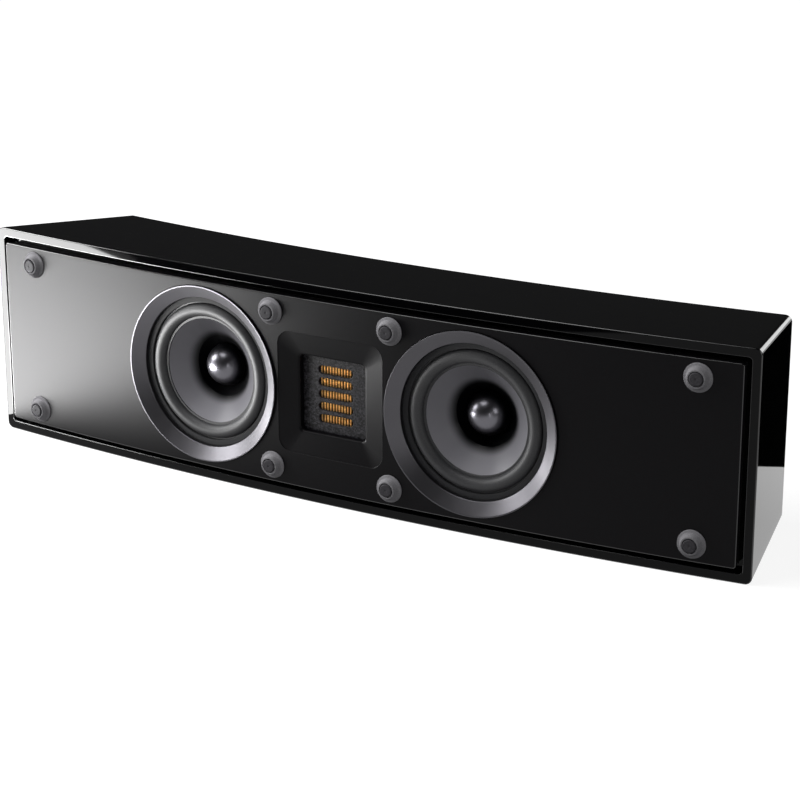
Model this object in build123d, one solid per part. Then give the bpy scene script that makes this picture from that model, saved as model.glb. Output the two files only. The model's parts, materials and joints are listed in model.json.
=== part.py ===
from build123d import *
import os
from math import asin, cos, degrees, sin, sqrt

# Centre channel loudspeaker: a lacquered arc-plan cabinet with two woofers and a pleated tweeter.
# Millimetres. X runs to the listener's right, Y to the back and Z up.
# The origin is the middle of the flat underside.

# Cabinet
FRONT_WIDTH = 740.0
FRONT_HEIGHT = 190.0
BACK_WIDTH = 668.0
BACK_HEIGHT = 176.0
DEPTH = 168.0
FRONT_RADIUS = 3250.0
BACK_RADIUS = 2430.0
WALL = 18.0
CABINET_CORNER = 6.0
RIM_WIDTH = 8.0
RIM_BEVEL = 1.0
GROOVE_WIDTH = 4.8
GROOVE_DEPTH = 9.0
GROOVE_CORNER = 3.0
SLIP = 0.2

# Front baffle
BAFFLE_PROUD = 3.0
BAFFLE_THICKNESS = 22.0
BAFFLE_CORNER = 2.5
BAFFLE_BEVEL = 0.9
SEAL_THICKNESS = 1.0

# Woofers: radii from the driver axis and depths behind the baffle face
RING_MARGIN = 4.4
RING_GAP = 2.6
RING_WIDTH = 11.8
RING_PROUD = 1.2
RING_EDGE = 0.8
RING_LIP_DEPTH = 5.6
RING_SEAT_DEPTH = 8.5
FLANGE_INSET = 3.3
FLANGE_THICKNESS = 6.5
LAND_THICKNESS = 2.0
LAND_WIDTH = 7.0
GASKET_THICKNESS = 2.8
GASKET_WIDTH = 4.8
SURROUND_THICKNESS = 1.0
ROLL_RADIUS = 5.0
CONE_LIP_WIDTH = 3.0
CONE_THICKNESS = 0.8
CONE_DROOP_DEPTH = 30.0
CONE_NECK_DEPTH = 43.0
CAP_RADIUS = 27.0
CAP_DEPTH = 10.5
CAP_THICKNESS = 0.7
COIL_RADIUS = 12.8
FORMER_THICKNESS = 0.4
FORMER_LENGTH = 32.5
WINDING_LENGTH = 12.0
WINDING_THICKNESS = 0.7
SPIDER_DEPTH = 53.0
SPIDER_RADIUS = 42.0
SPIDER_LIP = 5.0
SPIDER_THICKNESS = 0.7
SPIDER_WAVE = 1.4
SPIDER_WAVES = 3
BASKET_WALL = 3.0
BASKET_SKIRT = 9.0
BASKET_FLOOR_DEPTH = 63.0
BASKET_FLOOR = 3.0
BASKET_BORE_RADIUS = 20.0
BASKET_WINDOWS = 6
WINDOW_WIDTH = 34.0
TOP_PLATE_THICKNESS = 5.0
TOP_PLATE_RADIUS = 38.0
MAGNET_RADIUS = 42.0
MAGNET_BORE_RADIUS = 20.0
MAGNET_THICKNESS = 15.0
YOKE_RADIUS = 38.0
YOKE_THICKNESS = 5.0
GAP_OUTSIDE = 0.8
GAP_INSIDE = 0.5
BASKET_SCREWS = 4
SCREW_INSET = 4.3
SCREW_RADIUS = 2.0
SCREW_HEAD_RADIUS = 3.6
SCREW_HEAD_HEIGHT = 2.4
SCREW_GRIP = 6.0

# Pleated tweeter behind its waveguide
GUIDE_WIDTH = 102.0
GUIDE_HEIGHT = 105.0
GUIDE_CORNER = 12.0
GUIDE_STEP = 0.8
GUIDE_DEPTH = 4.5
THROAT_WIDTH = 63.5
THROAT_HEIGHT = 66.0
THROAT_CORNER = 4.0
FACE_DEPTH = 10.0
MODULE_WIDTH = 76.0
MODULE_HEIGHT = 80.0
FACE_THICKNESS = 2.0
SLOT_COUNT = 5
SLOT_LENGTH = 33.5
SLOT_HEIGHT = 7.0
SLOT_PITCH = 10.6
PLEATS = 12
PLEAT_PITCH = 2.8
PLEAT_DEPTH = 4.2
FILM_THICKNESS = 0.35
FILM_HEIGHT = 57.0
FRAME_THICKNESS = 6.0
BAR_MAGNET_WIDTH = 10.0
REAR_PLATE_THICKNESS = 3.5
CUP_DEPTH = 22.0
CUP_WALL = 2.5
CUP_FLANGE = 10.0
CUP_FLANGE_THICKNESS = 3.0

# Grille studs
STUD_SIDE_INSET = 47.8
STUD_INNER_X = 57.9
STUD_DROP = 27.7
STUD_RADIUS = 11.8
STUD_EDGE = 1.0
STUD_FLANGE = 1.6
STUD_BODY_RADIUS = 9.4
STUD_TOP_RADIUS = 7.6
STUD_HEIGHT = 6.2
STUD_WELL_RADIUS = 6.2
STUD_WELL_DEPTH = 3.0
STUD_SPIGOT_RADIUS = 4.0
STUD_SPIGOT = 8.0
INSERT_RADIUS = 5.5
INSERT_PROUD = 0.6
INSERT_DIMPLE = 1.2

# Terminal plate and binding posts
PLATE_WIDTH = 84.0
PLATE_HEIGHT = 54.0
PLATE_THICKNESS = 3.0
PLATE_CORNER = 6.0
PLATE_WINDOW_WIDTH = 56.0
PLATE_WINDOW_HEIGHT = 26.0
POST_SPACING = 19.0
POST_COLLAR_RADIUS = 7.2
POST_COLLAR = 3.0
POST_RADIUS = 3.5
POST_LENGTH = 16.0
POST_STUD_RADIUS = 2.5
POST_STUD = 13.0
BANANA_RADIUS = 2.0
BANANA_DEPTH = 14.0
NUT_RADIUS = 6.6
NUT_FLUTES = 12
FLUTE_RADIUS = 0.9
NUT_SLIP = 0.06
NUT_LIFT = 0.15
BACK_NUT_WIDTH = 8.0
BACK_NUT_THICKNESS = 4.0
PLATE_SCREW_INSET = 6.0

# Crossover on the cabinet floor
BOARD_WIDTH = 120.0
BOARD_LENGTH = 70.0
BOARD_THICKNESS = 1.6
BOARD_CORNER = 2.0
BOARD_BACK_GAP = 12.0
STANDOFF_RADIUS = 4.0
STANDOFF_HEIGHT = 6.0
STANDOFF_INSET = 7.0
INDUCTOR_RADIUS = 17.0
INDUCTOR_BORE = 8.0
INDUCTOR_HEIGHT = 18.0
CAPACITOR_RADIUS = 8.0
CAPACITOR_LENGTH = 34.0
RESISTOR_LENGTH = 24.0
RESISTOR_SIDE = 9.0

# Braces and wadding
BRACE_GAP = 22.8
BRACE_THICKNESS = 15.0
BRACE_WINDOW_WIDTH = 52.0
BRACE_WINDOW_HEIGHT = 96.0
PAD_WIDTH = 130.0
PAD_HEIGHT = 120.0
PAD_THICKNESS = 18.0

# Worked-out places
ON_FACE = 1e-3
FRONT_Y = -DEPTH / 2
ARC_Y = FRONT_Y + FRONT_RADIUS
BACK_ARC_Y = DEPTH / 2 + sqrt(BACK_RADIUS**2 - (BACK_WIDTH / 2) ** 2)
BACK_Y = BACK_ARC_Y - BACK_RADIUS
SIDE_FRONT_Y = ARC_Y - sqrt(FRONT_RADIUS**2 - (FRONT_WIDTH / 2) ** 2)
SIDE_LEAN = (FRONT_WIDTH - BACK_WIDTH) / 2 / (DEPTH / 2 - SIDE_FRONT_Y)
TOP_FALL = (FRONT_HEIGHT - BACK_HEIGHT) / (BACK_Y - FRONT_Y)
REACH = DEPTH
BAFFLE_BACK = BAFFLE_THICKNESS - BAFFLE_PROUD
DRIVER_HEIGHT = FRONT_HEIGHT / 2
RING_RADIUS = DRIVER_HEIGHT - RIM_WIDTH - GROOVE_WIDTH - RING_MARGIN
RING_BORE_RADIUS = RING_RADIUS - RING_WIDTH
WOOFER_OFFSET = GUIDE_WIDTH / 2 + RING_GAP + RING_RADIUS
FLANGE_RADIUS = RING_RADIUS - FLANGE_INSET
SCREW_CIRCLE = FLANGE_RADIUS - SCREW_INSET
STUD_OUTER_X = FRONT_WIDTH / 2 - STUD_SIDE_INSET
STUD_RISE = DRIVER_HEIGHT - STUD_DROP
BRACE_OFFSET = WOOFER_OFFSET + RING_RADIUS + BRACE_GAP
POCKET_DEPTH = RING_SEAT_DEPTH + FLANGE_THICKNESS
LAND_DEPTH = POCKET_DEPTH - LAND_THICKNESS
LAND_RADIUS = RING_BORE_RADIUS - LAND_WIDTH
CONE_RADIUS = LAND_RADIUS - 2 * ROLL_RADIUS
FORMER_RADIUS = COIL_RADIUS + FORMER_THICKNESS
FORMER_TOP = CONE_NECK_DEPTH - CONE_LIP_WIDTH
PLATE_REAR_DEPTH = BASKET_FLOOR_DEPTH + TOP_PLATE_THICKNESS
MAGNET_REAR_DEPTH = PLATE_REAR_DEPTH + MAGNET_THICKNESS
FRAME_DEPTH = FACE_DEPTH + FACE_THICKNESS
REAR_PLATE_DEPTH = FRAME_DEPTH + FRAME_THICKNESS
CUP_SEAT_DEPTH = REAR_PLATE_DEPTH + REAR_PLATE_THICKNESS
FILM_WIDTH = PLEATS * PLEAT_PITCH

os.makedirs("parts", exist_ok=True)


def save(name, shape):
    export_step(shape, f"parts/{name}.step")


def turned(*outline):
    """Solid turned about Z from a closed outline of (radius, height) points."""
    return revolve(Plane.XZ * make_face(Polyline(*outline, close=True)), Axis.Z)


def turned_edges(edges):
    """Solid turned about Z from a closed outline of lines and arcs drawn as (radius, height)."""
    return revolve(Plane.XZ * make_face(edges), Axis.Z)


def tube(outer, inner, low, high):
    return turned((inner, low), (outer, low), (outer, high), (inner, high))


def rod(radius, low, high):
    return Pos(0, 0, low) * extrude(Circle(radius), high - low)


def block(width, height, low, high, corner):
    return Pos(0, 0, low) * extrude(RectangleRounded(width, height, corner), high - low)


# Cabinet forms: walls that lean in to the back, between arcs about the front's centre

def footprint(inset):
    """The side walls in plan, drawn past the front and the back, moved in by an inset."""
    half = FRONT_WIDTH / 2 - inset * sqrt(1 + SIDE_LEAN**2)
    near = half + SIDE_LEAN * REACH
    far = half - SIDE_LEAN * REACH
    front, back = SIDE_FRONT_Y - REACH, SIDE_FRONT_Y + REACH
    return make_face(Polyline((-near, front), (near, front), (far, back), (-far, back), close=True))


def front_disc(depth):
    return Pos(0, ARC_Y) * Circle(FRONT_RADIUS - depth)


def back_disc(inset):
    return Pos(0, BACK_ARC_Y) * Circle(BACK_RADIUS + inset)


def arc_sector(*outline):
    """A closed outline of (radius, height) points carried along the front's arc, past both sides."""
    spread = 2 * degrees(asin(FRONT_WIDTH / (FRONT_RADIUS - 2 * REACH)))
    section = Plane.XZ * make_face(Polyline(*outline, close=True))
    return Pos(0, ARC_Y) * Rot(0, 0, -90 - spread / 2) * revolve(section, Axis.Z, revolution_arc=spread)


def headroom(inset):
    """Everything under the top face, which falls away from the front arc as a shallow cone."""
    near = FRONT_RADIUS + REACH
    far = FRONT_RADIUS - 2 * REACH
    ceiling = FRONT_HEIGHT - inset
    return arc_sector(
        (far, inset),
        (near, inset),
        (near, ceiling + TOP_FALL * REACH),
        (far, ceiling - 2 * TOP_FALL * REACH),
    )


def cabinet_form(plan, inset):
    return Part() + (extrude(plan, FRONT_HEIGHT + BACK_HEIGHT) & headroom(inset))


def filled_form(inset, depth):
    """The cabinet's own shape, moved in on all sides, from a depth behind the rim to the back wall."""
    return cabinet_form(footprint(inset) & front_disc(depth) - back_disc(inset), inset)


def front_slab(inset, near, far):
    """A slice of the cabinet's shape between two depths behind the rim."""
    return cabinet_form(footprint(inset) & front_disc(near) - front_disc(far), inset)


def depth_edges(solid):
    """The four long corners that run from the front to the back."""
    def runs_back(edge):
        size = edge.bounding_box().size
        return size.Y > max(size.X, size.Z)

    return solid.edges().filter_by(runs_back)


def front_edges(solid, depth):
    """The outline of a form's front face, which lies on the arc at a depth behind the rim."""
    def on_arc(edge):
        spots = [edge @ 0, edge @ 0.5, edge @ 1]
        radii = [sqrt(spot.X**2 + (ARC_Y - spot.Y) ** 2) for spot in spots]
        return all(abs(radius - FRONT_RADIUS + depth) < ON_FACE for radius in radii)

    return solid.edges().filter_by(on_arc)


def bevel_cuts(form, inset, depth, size):
    """Wedges that cut a bevel along the top, bottom and side edges of a form's front face."""
    radius = FRONT_RADIUS - depth
    top = FRONT_HEIGHT - inset - TOP_FALL * depth
    corners = [(-2, 1), (1, -2), (1, 1)]
    over = [(radius + out * size, top + up * size) for out, up in corners]
    under = [(radius + out * size, inset - up * size) for out, up in corners]
    cuts = [arc_sector(*over), arc_sector(*under)]
    for edge in front_edges(form, depth).filter_by(Axis.Z):
        foot = Vector((edge @ 0.5).X, (edge @ 0.5).Y)
        side = 1 if foot.X > 0 else -1
        turn = asin(foot.X / radius)
        back = Vector(-side * SIDE_LEAN, 1).normalized() * size
        along = Vector(cos(turn), sin(turn)) * -side * size
        plan = Polyline(foot + back * 2 - along, foot + along * 2 - back, foot - back - along, close=True)
        cuts.append(extrude(make_face(plan), FRONT_HEIGHT + BACK_HEIGHT, dir=(0, 0, 1)))
    return cuts


def face_plane(x, z):
    """Plane on the baffle's face at a place: its Z points at the listener and its Y up."""
    radius = FRONT_RADIUS + BAFFLE_PROUD
    turn = asin(x / radius)
    return Plane(
        origin=(x, ARC_Y - radius * cos(turn), z),
        x_dir=(cos(turn), sin(turn), 0),
        z_dir=(sin(turn), -cos(turn), 0),
    )


woofer_planes = {
    "left": face_plane(-WOOFER_OFFSET, DRIVER_HEIGHT),
    "right": face_plane(WOOFER_OFFSET, DRIVER_HEIGHT),
}
tweeter_plane = face_plane(0, DRIVER_HEIGHT)
stud_planes = [
    face_plane(side * x, DRIVER_HEIGHT + rise)
    for side in (-1, 1)
    for x in (STUD_INNER_X, STUD_OUTER_X)
    for rise in (-STUD_RISE, STUD_RISE)
]
terminal_plane = Plane(
    origin=(0, BACK_Y - PLATE_THICKNESS, BACK_HEIGHT / 2), x_dir=(-1, 0, 0), z_dir=(0, 1, 0)
)


# Cabinet shell

def make_shell():
    body = filled_form(0, 0)
    shell = fillet(depth_edges(body), CABINET_CORNER) - bevel_cuts(body, 0, 0, RIM_BEVEL)
    rebate = front_slab(RIM_WIDTH, -REACH / 2, GROOVE_DEPTH)
    shell -= fillet(depth_edges(rebate), GROOVE_CORNER)
    shell -= filled_form(WALL, -REACH / 2)
    seat = block(PLATE_WIDTH + 2 * SLIP, PLATE_HEIGHT + 2 * SLIP, 0, WALL, PLATE_CORNER + SLIP)
    window = block(PLATE_WINDOW_WIDTH, PLATE_WINDOW_HEIGHT, -2 * WALL, WALL, PLATE_CORNER)
    recess = seat + window
    for place in plate_screw_places():
        recess += place * rod(SCREW_RADIUS, -SCREW_GRIP, 0)
    return shell - terminal_plane.location * recess


# Front baffle with its woofer pockets, waveguide and stud holes

def make_waveguide():
    """The cut for the waveguide: a small step, a flare to the throat, and the module's bay behind."""
    step = block(GUIDE_WIDTH, GUIDE_HEIGHT, -GUIDE_STEP, WALL, GUIDE_CORNER)
    mouth = Pos(0, 0, -GUIDE_STEP) * RectangleRounded(GUIDE_WIDTH, GUIDE_HEIGHT, GUIDE_CORNER)
    throat = Pos(0, 0, -GUIDE_DEPTH) * RectangleRounded(THROAT_WIDTH, THROAT_HEIGHT, THROAT_CORNER)
    flare = loft([mouth.face(), throat.face()])
    neck = block(THROAT_WIDTH, THROAT_HEIGHT, -FACE_DEPTH, -GUIDE_DEPTH, THROAT_CORNER)
    bay = block(
        MODULE_WIDTH + 2 * SLIP, MODULE_HEIGHT + 2 * SLIP, -2 * BAFFLE_THICKNESS, -FACE_DEPTH, THROAT_CORNER
    )
    land = block(
        MODULE_WIDTH + 2 * CUP_FLANGE + 2 * SLIP,
        MODULE_HEIGHT + 2 * CUP_FLANGE + 2 * SLIP,
        -2 * BAFFLE_THICKNESS,
        -CUP_SEAT_DEPTH,
        THROAT_CORNER,
    )
    return step + flare + neck + bay + land


def make_baffle():
    margin = RIM_WIDTH + GROOVE_WIDTH
    slab = front_slab(margin, -BAFFLE_PROUD, GROOVE_DEPTH - SEAL_THICKNESS)
    flange = fillet(depth_edges(slab), BAFFLE_CORNER) - bevel_cuts(slab, margin, -BAFFLE_PROUD, BAFFLE_BEVEL)
    plug = front_slab(WALL + SLIP, GROOVE_DEPTH - SEAL_THICKNESS, BAFFLE_BACK)
    baffle = flange + plug
    pocket = rod(RING_RADIUS + SLIP, -RING_SEAT_DEPTH, WALL)
    pocket += rod(FLANGE_RADIUS + SLIP, -POCKET_DEPTH, -RING_SEAT_DEPTH)
    pocket += rod(LAND_RADIUS + BASKET_WALL + SLIP, -2 * BAFFLE_THICKNESS, -POCKET_DEPTH)
    for place in screw_places():
        pocket += place * rod(SCREW_RADIUS, -POCKET_DEPTH - SCREW_GRIP, -POCKET_DEPTH)
    for plane in woofer_planes.values():
        baffle -= plane.location * pocket
    baffle -= tweeter_plane.location * make_waveguide()
    cup_pilot = rod(SCREW_RADIUS, -CUP_SEAT_DEPTH, SCREW_GRIP - CUP_SEAT_DEPTH)
    for place in cup_screw_places():
        baffle -= tweeter_plane.location * place * cup_pilot
    for plane in stud_planes:
        baffle -= plane.location * rod(STUD_SPIGOT_RADIUS + SLIP, -STUD_SPIGOT - SLIP, WALL)
        baffle -= plane.location * rod(STUD_RADIUS + SLIP, 0, WALL)
    return baffle


def make_seal():
    tape = front_slab(RIM_WIDTH + GROOVE_WIDTH, GROOVE_DEPTH - SEAL_THICKNESS, GROOVE_DEPTH)
    return tape - filled_form(WALL, -REACH / 2)


# Woofer pieces, each drawn about its own axis with the baffle's face at height 0

def make_trim_ring():
    return turned(
        (RING_BORE_RADIUS, -RING_SEAT_DEPTH),
        (RING_RADIUS, -RING_SEAT_DEPTH),
        (RING_RADIUS, RING_PROUD - RING_EDGE),
        (RING_RADIUS - RING_EDGE, RING_PROUD),
        (RING_BORE_RADIUS, -RING_LIP_DEPTH),
    )


def screw_places():
    return PolarLocations(SCREW_CIRCLE, BASKET_SCREWS, 45).locations


def make_basket():
    floor_top = BASKET_FLOOR_DEPTH - BASKET_FLOOR
    skirt_depth = POCKET_DEPTH + BASKET_SKIRT
    ledge = SPIDER_RADIUS - SPIDER_LIP
    basket = turned(
        (FLANGE_RADIUS, -RING_SEAT_DEPTH),
        (FLANGE_RADIUS, -POCKET_DEPTH),
        (LAND_RADIUS + BASKET_WALL, -POCKET_DEPTH),
        (LAND_RADIUS + BASKET_WALL, -skirt_depth),
        (SPIDER_RADIUS + SLIP + BASKET_WALL, -SPIDER_DEPTH),
        (SPIDER_RADIUS + SLIP + BASKET_WALL, -BASKET_FLOOR_DEPTH),
        (BASKET_BORE_RADIUS, -BASKET_FLOOR_DEPTH),
        (BASKET_BORE_RADIUS, -floor_top),
        (ledge, -floor_top),
        (ledge, -SPIDER_DEPTH),
        (SPIDER_RADIUS + SLIP, -SPIDER_DEPTH),
        (LAND_RADIUS, -skirt_depth),
        (LAND_RADIUS, -LAND_DEPTH),
        (RING_BORE_RADIUS, -LAND_DEPTH),
        (RING_BORE_RADIUS, -RING_SEAT_DEPTH),
    )
    rise = SPIDER_DEPTH - skirt_depth - 2 * BASKET_WALL
    opening = Pos(LAND_RADIUS, 0, -(SPIDER_DEPTH + skirt_depth) / 2) * Box(LAND_RADIUS, WINDOW_WIDTH, rise)
    for turn in range(BASKET_WINDOWS):
        basket -= Rot(0, 0, turn * 360 / BASKET_WINDOWS) * opening
    head_well = rod(SCREW_HEAD_RADIUS + SLIP, -RING_SEAT_DEPTH - SCREW_HEAD_HEIGHT, 0)
    shank_hole = rod(SCREW_RADIUS + SLIP, -POCKET_DEPTH, 0)
    for place in screw_places():
        basket -= place * (head_well + shank_hole)
    return basket


def make_basket_screw():
    head = rod(SCREW_HEAD_RADIUS, -RING_SEAT_DEPTH - SCREW_HEAD_HEIGHT, -RING_SEAT_DEPTH)
    shank = rod(SCREW_RADIUS, -POCKET_DEPTH - SCREW_GRIP, -RING_SEAT_DEPTH - SCREW_HEAD_HEIGHT)
    return head + shank


def make_gasket():
    outer = RING_BORE_RADIUS - SLIP
    low = SURROUND_THICKNESS - LAND_DEPTH
    return tube(outer, outer - GASKET_WIDTH, low, low + GASKET_THICKNESS)


def make_surround():
    """Half roll between two flat lips, with the outer lip on the basket's land."""
    low, top = -LAND_DEPTH, SURROUND_THICKNESS - LAND_DEPTH
    middle = LAND_RADIUS - ROLL_RADIUS
    spread = ROLL_RADIUS + SURROUND_THICKNESS
    rim = RING_BORE_RADIUS - SLIP
    inner = CONE_RADIUS - CONE_LIP_WIDTH
    crown = low + ROLL_RADIUS
    return turned_edges(
        Polyline((middle + ROLL_RADIUS, low), (rim, low), (rim, top), (middle + spread, top))
        + ThreePointArc((middle + spread, top), (middle, crown + SURROUND_THICKNESS), (middle - spread, top))
        + Polyline((middle - spread, top), (inner, top), (inner, low), (middle - ROLL_RADIUS, low))
        + ThreePointArc((middle - ROLL_RADIUS, low), (middle, crown), (middle + ROLL_RADIUS, low))
    )


def make_cone():
    """Curved paper cone: shallow at its lip and steep at the neck that grips the coil former."""
    front, back = -LAND_DEPTH, -LAND_DEPTH - CONE_THICKNESS
    lip = CONE_RADIUS - CONE_LIP_WIDTH
    neck = FORMER_RADIUS + SLIP / 2
    return turned_edges(
        Line((CONE_RADIUS, back), (CONE_RADIUS, front))
        + Line((CONE_RADIUS, front), (lip, front))
        + ThreePointArc((lip, front), (CAP_RADIUS, -CONE_DROOP_DEPTH), (neck, -CONE_NECK_DEPTH))
        + Line((neck, -CONE_NECK_DEPTH), (neck, -CONE_NECK_DEPTH - 2 * CONE_THICKNESS))
        + ThreePointArc(
            (neck, -CONE_NECK_DEPTH - 2 * CONE_THICKNESS),
            (CAP_RADIUS, -CONE_DROOP_DEPTH - sqrt(2) * CONE_THICKNESS),
            (lip, back),
        )
        + Line((lip, back), (CONE_RADIUS, back))
    )


def make_dust_cap():
    """Inverted cap: a shallow dish whose rim stands on the cone's face."""
    rim = SLIP - CONE_DROOP_DEPTH
    ball = (CAP_RADIUS**2 + CAP_DEPTH**2) / 2 / CAP_DEPTH
    centre = rim - CAP_DEPTH + ball
    shell = Pos(0, 0, centre) * (Sphere(ball) - Sphere(ball - CAP_THICKNESS))
    return shell & rod(ball, rim - 2 * CAP_DEPTH, rim)


def make_former():
    return tube(FORMER_RADIUS, COIL_RADIUS, -FORMER_TOP - FORMER_LENGTH, -FORMER_TOP)


def make_winding():
    middle = -BASKET_FLOOR_DEPTH - TOP_PLATE_THICKNESS / 2
    half = WINDING_LENGTH / 2
    return tube(FORMER_RADIUS + WINDING_THICKNESS, FORMER_RADIUS, middle - half, middle + half)


def make_spider():
    """Corrugated disc between the former and the basket's ledge."""
    low = -SPIDER_DEPTH
    collar = FORMER_RADIUS + SLIP / 2
    start, stop = collar + SPIDER_LIP, SPIDER_RADIUS - SPIDER_LIP
    step = (stop - start) / (4 * SPIDER_WAVES)
    heights = (0, 1, 0, -1)
    waves = [(start + i * step, SPIDER_WAVE * heights[i % 4]) for i in range(4 * SPIDER_WAVES + 1)]
    outline = [(collar, 0), *waves, (SPIDER_RADIUS, 0)]
    under = [(radius, low + rise) for radius, rise in outline]
    over = [(radius, low + rise + SPIDER_THICKNESS) for radius, rise in reversed(outline)]
    return turned(*under, *over)


def make_top_plate():
    gap = FORMER_RADIUS + WINDING_THICKNESS + GAP_OUTSIDE
    return tube(TOP_PLATE_RADIUS, gap, -PLATE_REAR_DEPTH, -BASKET_FLOOR_DEPTH)


def make_magnet():
    return tube(MAGNET_RADIUS, MAGNET_BORE_RADIUS, -MAGNET_REAR_DEPTH, -PLATE_REAR_DEPTH)


def make_yoke():
    pole = COIL_RADIUS - GAP_INSIDE
    base = rod(YOKE_RADIUS, -MAGNET_REAR_DEPTH - YOKE_THICKNESS, -MAGNET_REAR_DEPTH)
    return base + rod(pole, -MAGNET_REAR_DEPTH, -BASKET_FLOOR_DEPTH)


# Tweeter pieces, drawn about the waveguide's axis

def slots(depth, thickness):
    slot = extrude(SlotOverall(SLOT_LENGTH, SLOT_HEIGHT), thickness)
    rows = [(i - (SLOT_COUNT - 1) / 2) * SLOT_PITCH for i in range(SLOT_COUNT)]
    return [Pos(0, row, -depth - thickness) * slot for row in rows]


def make_slot_plate(depth, thickness):
    plate = block(MODULE_WIDTH, MODULE_HEIGHT, -depth - thickness, -depth, THROAT_CORNER)
    for slot in slots(depth, thickness):
        plate -= slot
    return plate


def make_film():
    """One folded film: upright pleats across the slots, with its edges held in the frame."""
    step = PLEAT_PITCH / 2
    skin = FILM_THICKNESS * sqrt(step**2 + PLEAT_DEPTH**2) / step
    crest = -FRAME_DEPTH - SLIP
    trough = crest - PLEAT_DEPTH
    folds = [(i * step - FILM_WIDTH / 2, crest if i % 2 else trough) for i in range(2 * PLEATS + 1)]
    under = [(x, depth - skin) for x, depth in reversed(folds)]
    section = make_face(Polyline(*folds, *under, close=True))
    return Pos(0, FILM_HEIGHT / 2, 0) * extrude(Plane.XZ * section, FILM_HEIGHT)


def make_frame():
    frame = block(MODULE_WIDTH, MODULE_HEIGHT, -REAR_PLATE_DEPTH, -FRAME_DEPTH, THROAT_CORNER)
    gallery = Box(FILM_WIDTH + 4 * SLIP, FILM_HEIGHT + 2 * SLIP, 3 * FRAME_THICKNESS)
    frame -= Pos(0, 0, -FRAME_DEPTH) * gallery
    for place in bar_places():
        frame -= place * Box(BAR_MAGNET_WIDTH + 2 * SLIP, FILM_HEIGHT + 2 * SLIP, 3 * FRAME_THICKNESS)
    return frame


def bar_places():
    middle = -(FRAME_DEPTH + REAR_PLATE_DEPTH) / 2
    offset = (FILM_WIDTH / 2 + MODULE_WIDTH / 2) / 2
    return [Pos(-offset, 0, middle), Pos(offset, 0, middle)]


def make_bar_magnets():
    bar = Box(BAR_MAGNET_WIDTH, FILM_HEIGHT, FRAME_THICKNESS)
    return Compound(children=[place * bar for place in bar_places()])


def cup_screw_places():
    x = MODULE_WIDTH / 2 + CUP_FLANGE / 2
    y = MODULE_HEIGHT / 2 + CUP_FLANGE / 2
    return [Pos(sx * x, sy * y, 0) for sx in (-1, 1) for sy in (-1, 1)]


def make_back_cup():
    flange_back = CUP_SEAT_DEPTH + CUP_FLANGE_THICKNESS
    wide, tall = MODULE_WIDTH + 2 * CUP_FLANGE, MODULE_HEIGHT + 2 * CUP_FLANGE
    flange = block(wide, tall, -flange_back, -CUP_SEAT_DEPTH, THROAT_CORNER)
    cup = block(MODULE_WIDTH, MODULE_HEIGHT, -CUP_SEAT_DEPTH - CUP_DEPTH, -CUP_SEAT_DEPTH, THROAT_CORNER)
    room = block(
        MODULE_WIDTH - 2 * CUP_WALL,
        MODULE_HEIGHT - 2 * CUP_WALL,
        CUP_WALL - CUP_SEAT_DEPTH - CUP_DEPTH,
        -CUP_SEAT_DEPTH,
        THROAT_CORNER - CUP_WALL,
    )
    cup = flange + cup - room
    for place in cup_screw_places():
        cup -= place * rod(SCREW_RADIUS + SLIP, -flange_back, -CUP_SEAT_DEPTH)
    return cup


def make_cup_screw():
    seat = -CUP_SEAT_DEPTH - CUP_FLANGE_THICKNESS
    head = rod(SCREW_HEAD_RADIUS, seat - SCREW_HEAD_HEIGHT, seat)
    return head + rod(SCREW_RADIUS, seat, SCREW_GRIP - CUP_SEAT_DEPTH)


# Grille studs, drawn with the baffle's face at height 0

def make_stud():
    return turned(
        (0, -STUD_SPIGOT),
        (STUD_SPIGOT_RADIUS, -STUD_SPIGOT),
        (STUD_SPIGOT_RADIUS, 0),
        (STUD_RADIUS, 0),
        (STUD_RADIUS, STUD_EDGE),
        (STUD_BODY_RADIUS, STUD_FLANGE),
        (STUD_TOP_RADIUS, STUD_HEIGHT),
        (STUD_WELL_RADIUS, STUD_HEIGHT),
        (STUD_WELL_RADIUS, STUD_HEIGHT - STUD_WELL_DEPTH),
        (0, STUD_HEIGHT - STUD_WELL_DEPTH),
    )


def make_insert():
    low, top = STUD_HEIGHT - STUD_WELL_DEPTH, STUD_HEIGHT + INSERT_PROUD
    return turned(
        (0, low),
        (INSERT_RADIUS, low),
        (INSERT_RADIUS, STUD_HEIGHT),
        (INSERT_RADIUS - INSERT_PROUD, top),
        (INSERT_DIMPLE, top),
        (0, top - INSERT_DIMPLE / 2),
    )


# Terminal plate, drawn with its inner face at height 0 and height running to the back

def plate_screw_places():
    x = PLATE_WIDTH / 2 - PLATE_SCREW_INSET
    y = PLATE_HEIGHT / 2 - PLATE_SCREW_INSET
    return [Pos(sx * x, sy * y, 0) for sx in (-1, 1) for sy in (-1, 1)]


def post_place(side):
    return Pos(side * POST_SPACING / 2, 0, PLATE_THICKNESS)


def make_terminal_plate():
    plate = block(PLATE_WIDTH, PLATE_HEIGHT, 0, PLATE_THICKNESS, PLATE_CORNER)
    for place in plate_screw_places():
        plate -= place * rod(SCREW_RADIUS + SLIP, 0, PLATE_THICKNESS)
    for side in (-1, 1):
        plate -= post_place(side) * rod(POST_STUD_RADIUS + SLIP, -PLATE_THICKNESS, 0)
    return plate


def make_plate_screw():
    top = PLATE_THICKNESS + SCREW_HEAD_HEIGHT
    return rod(SCREW_HEAD_RADIUS, PLATE_THICKNESS, top) + rod(SCREW_RADIUS, -SCREW_GRIP, PLATE_THICKNESS)


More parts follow.
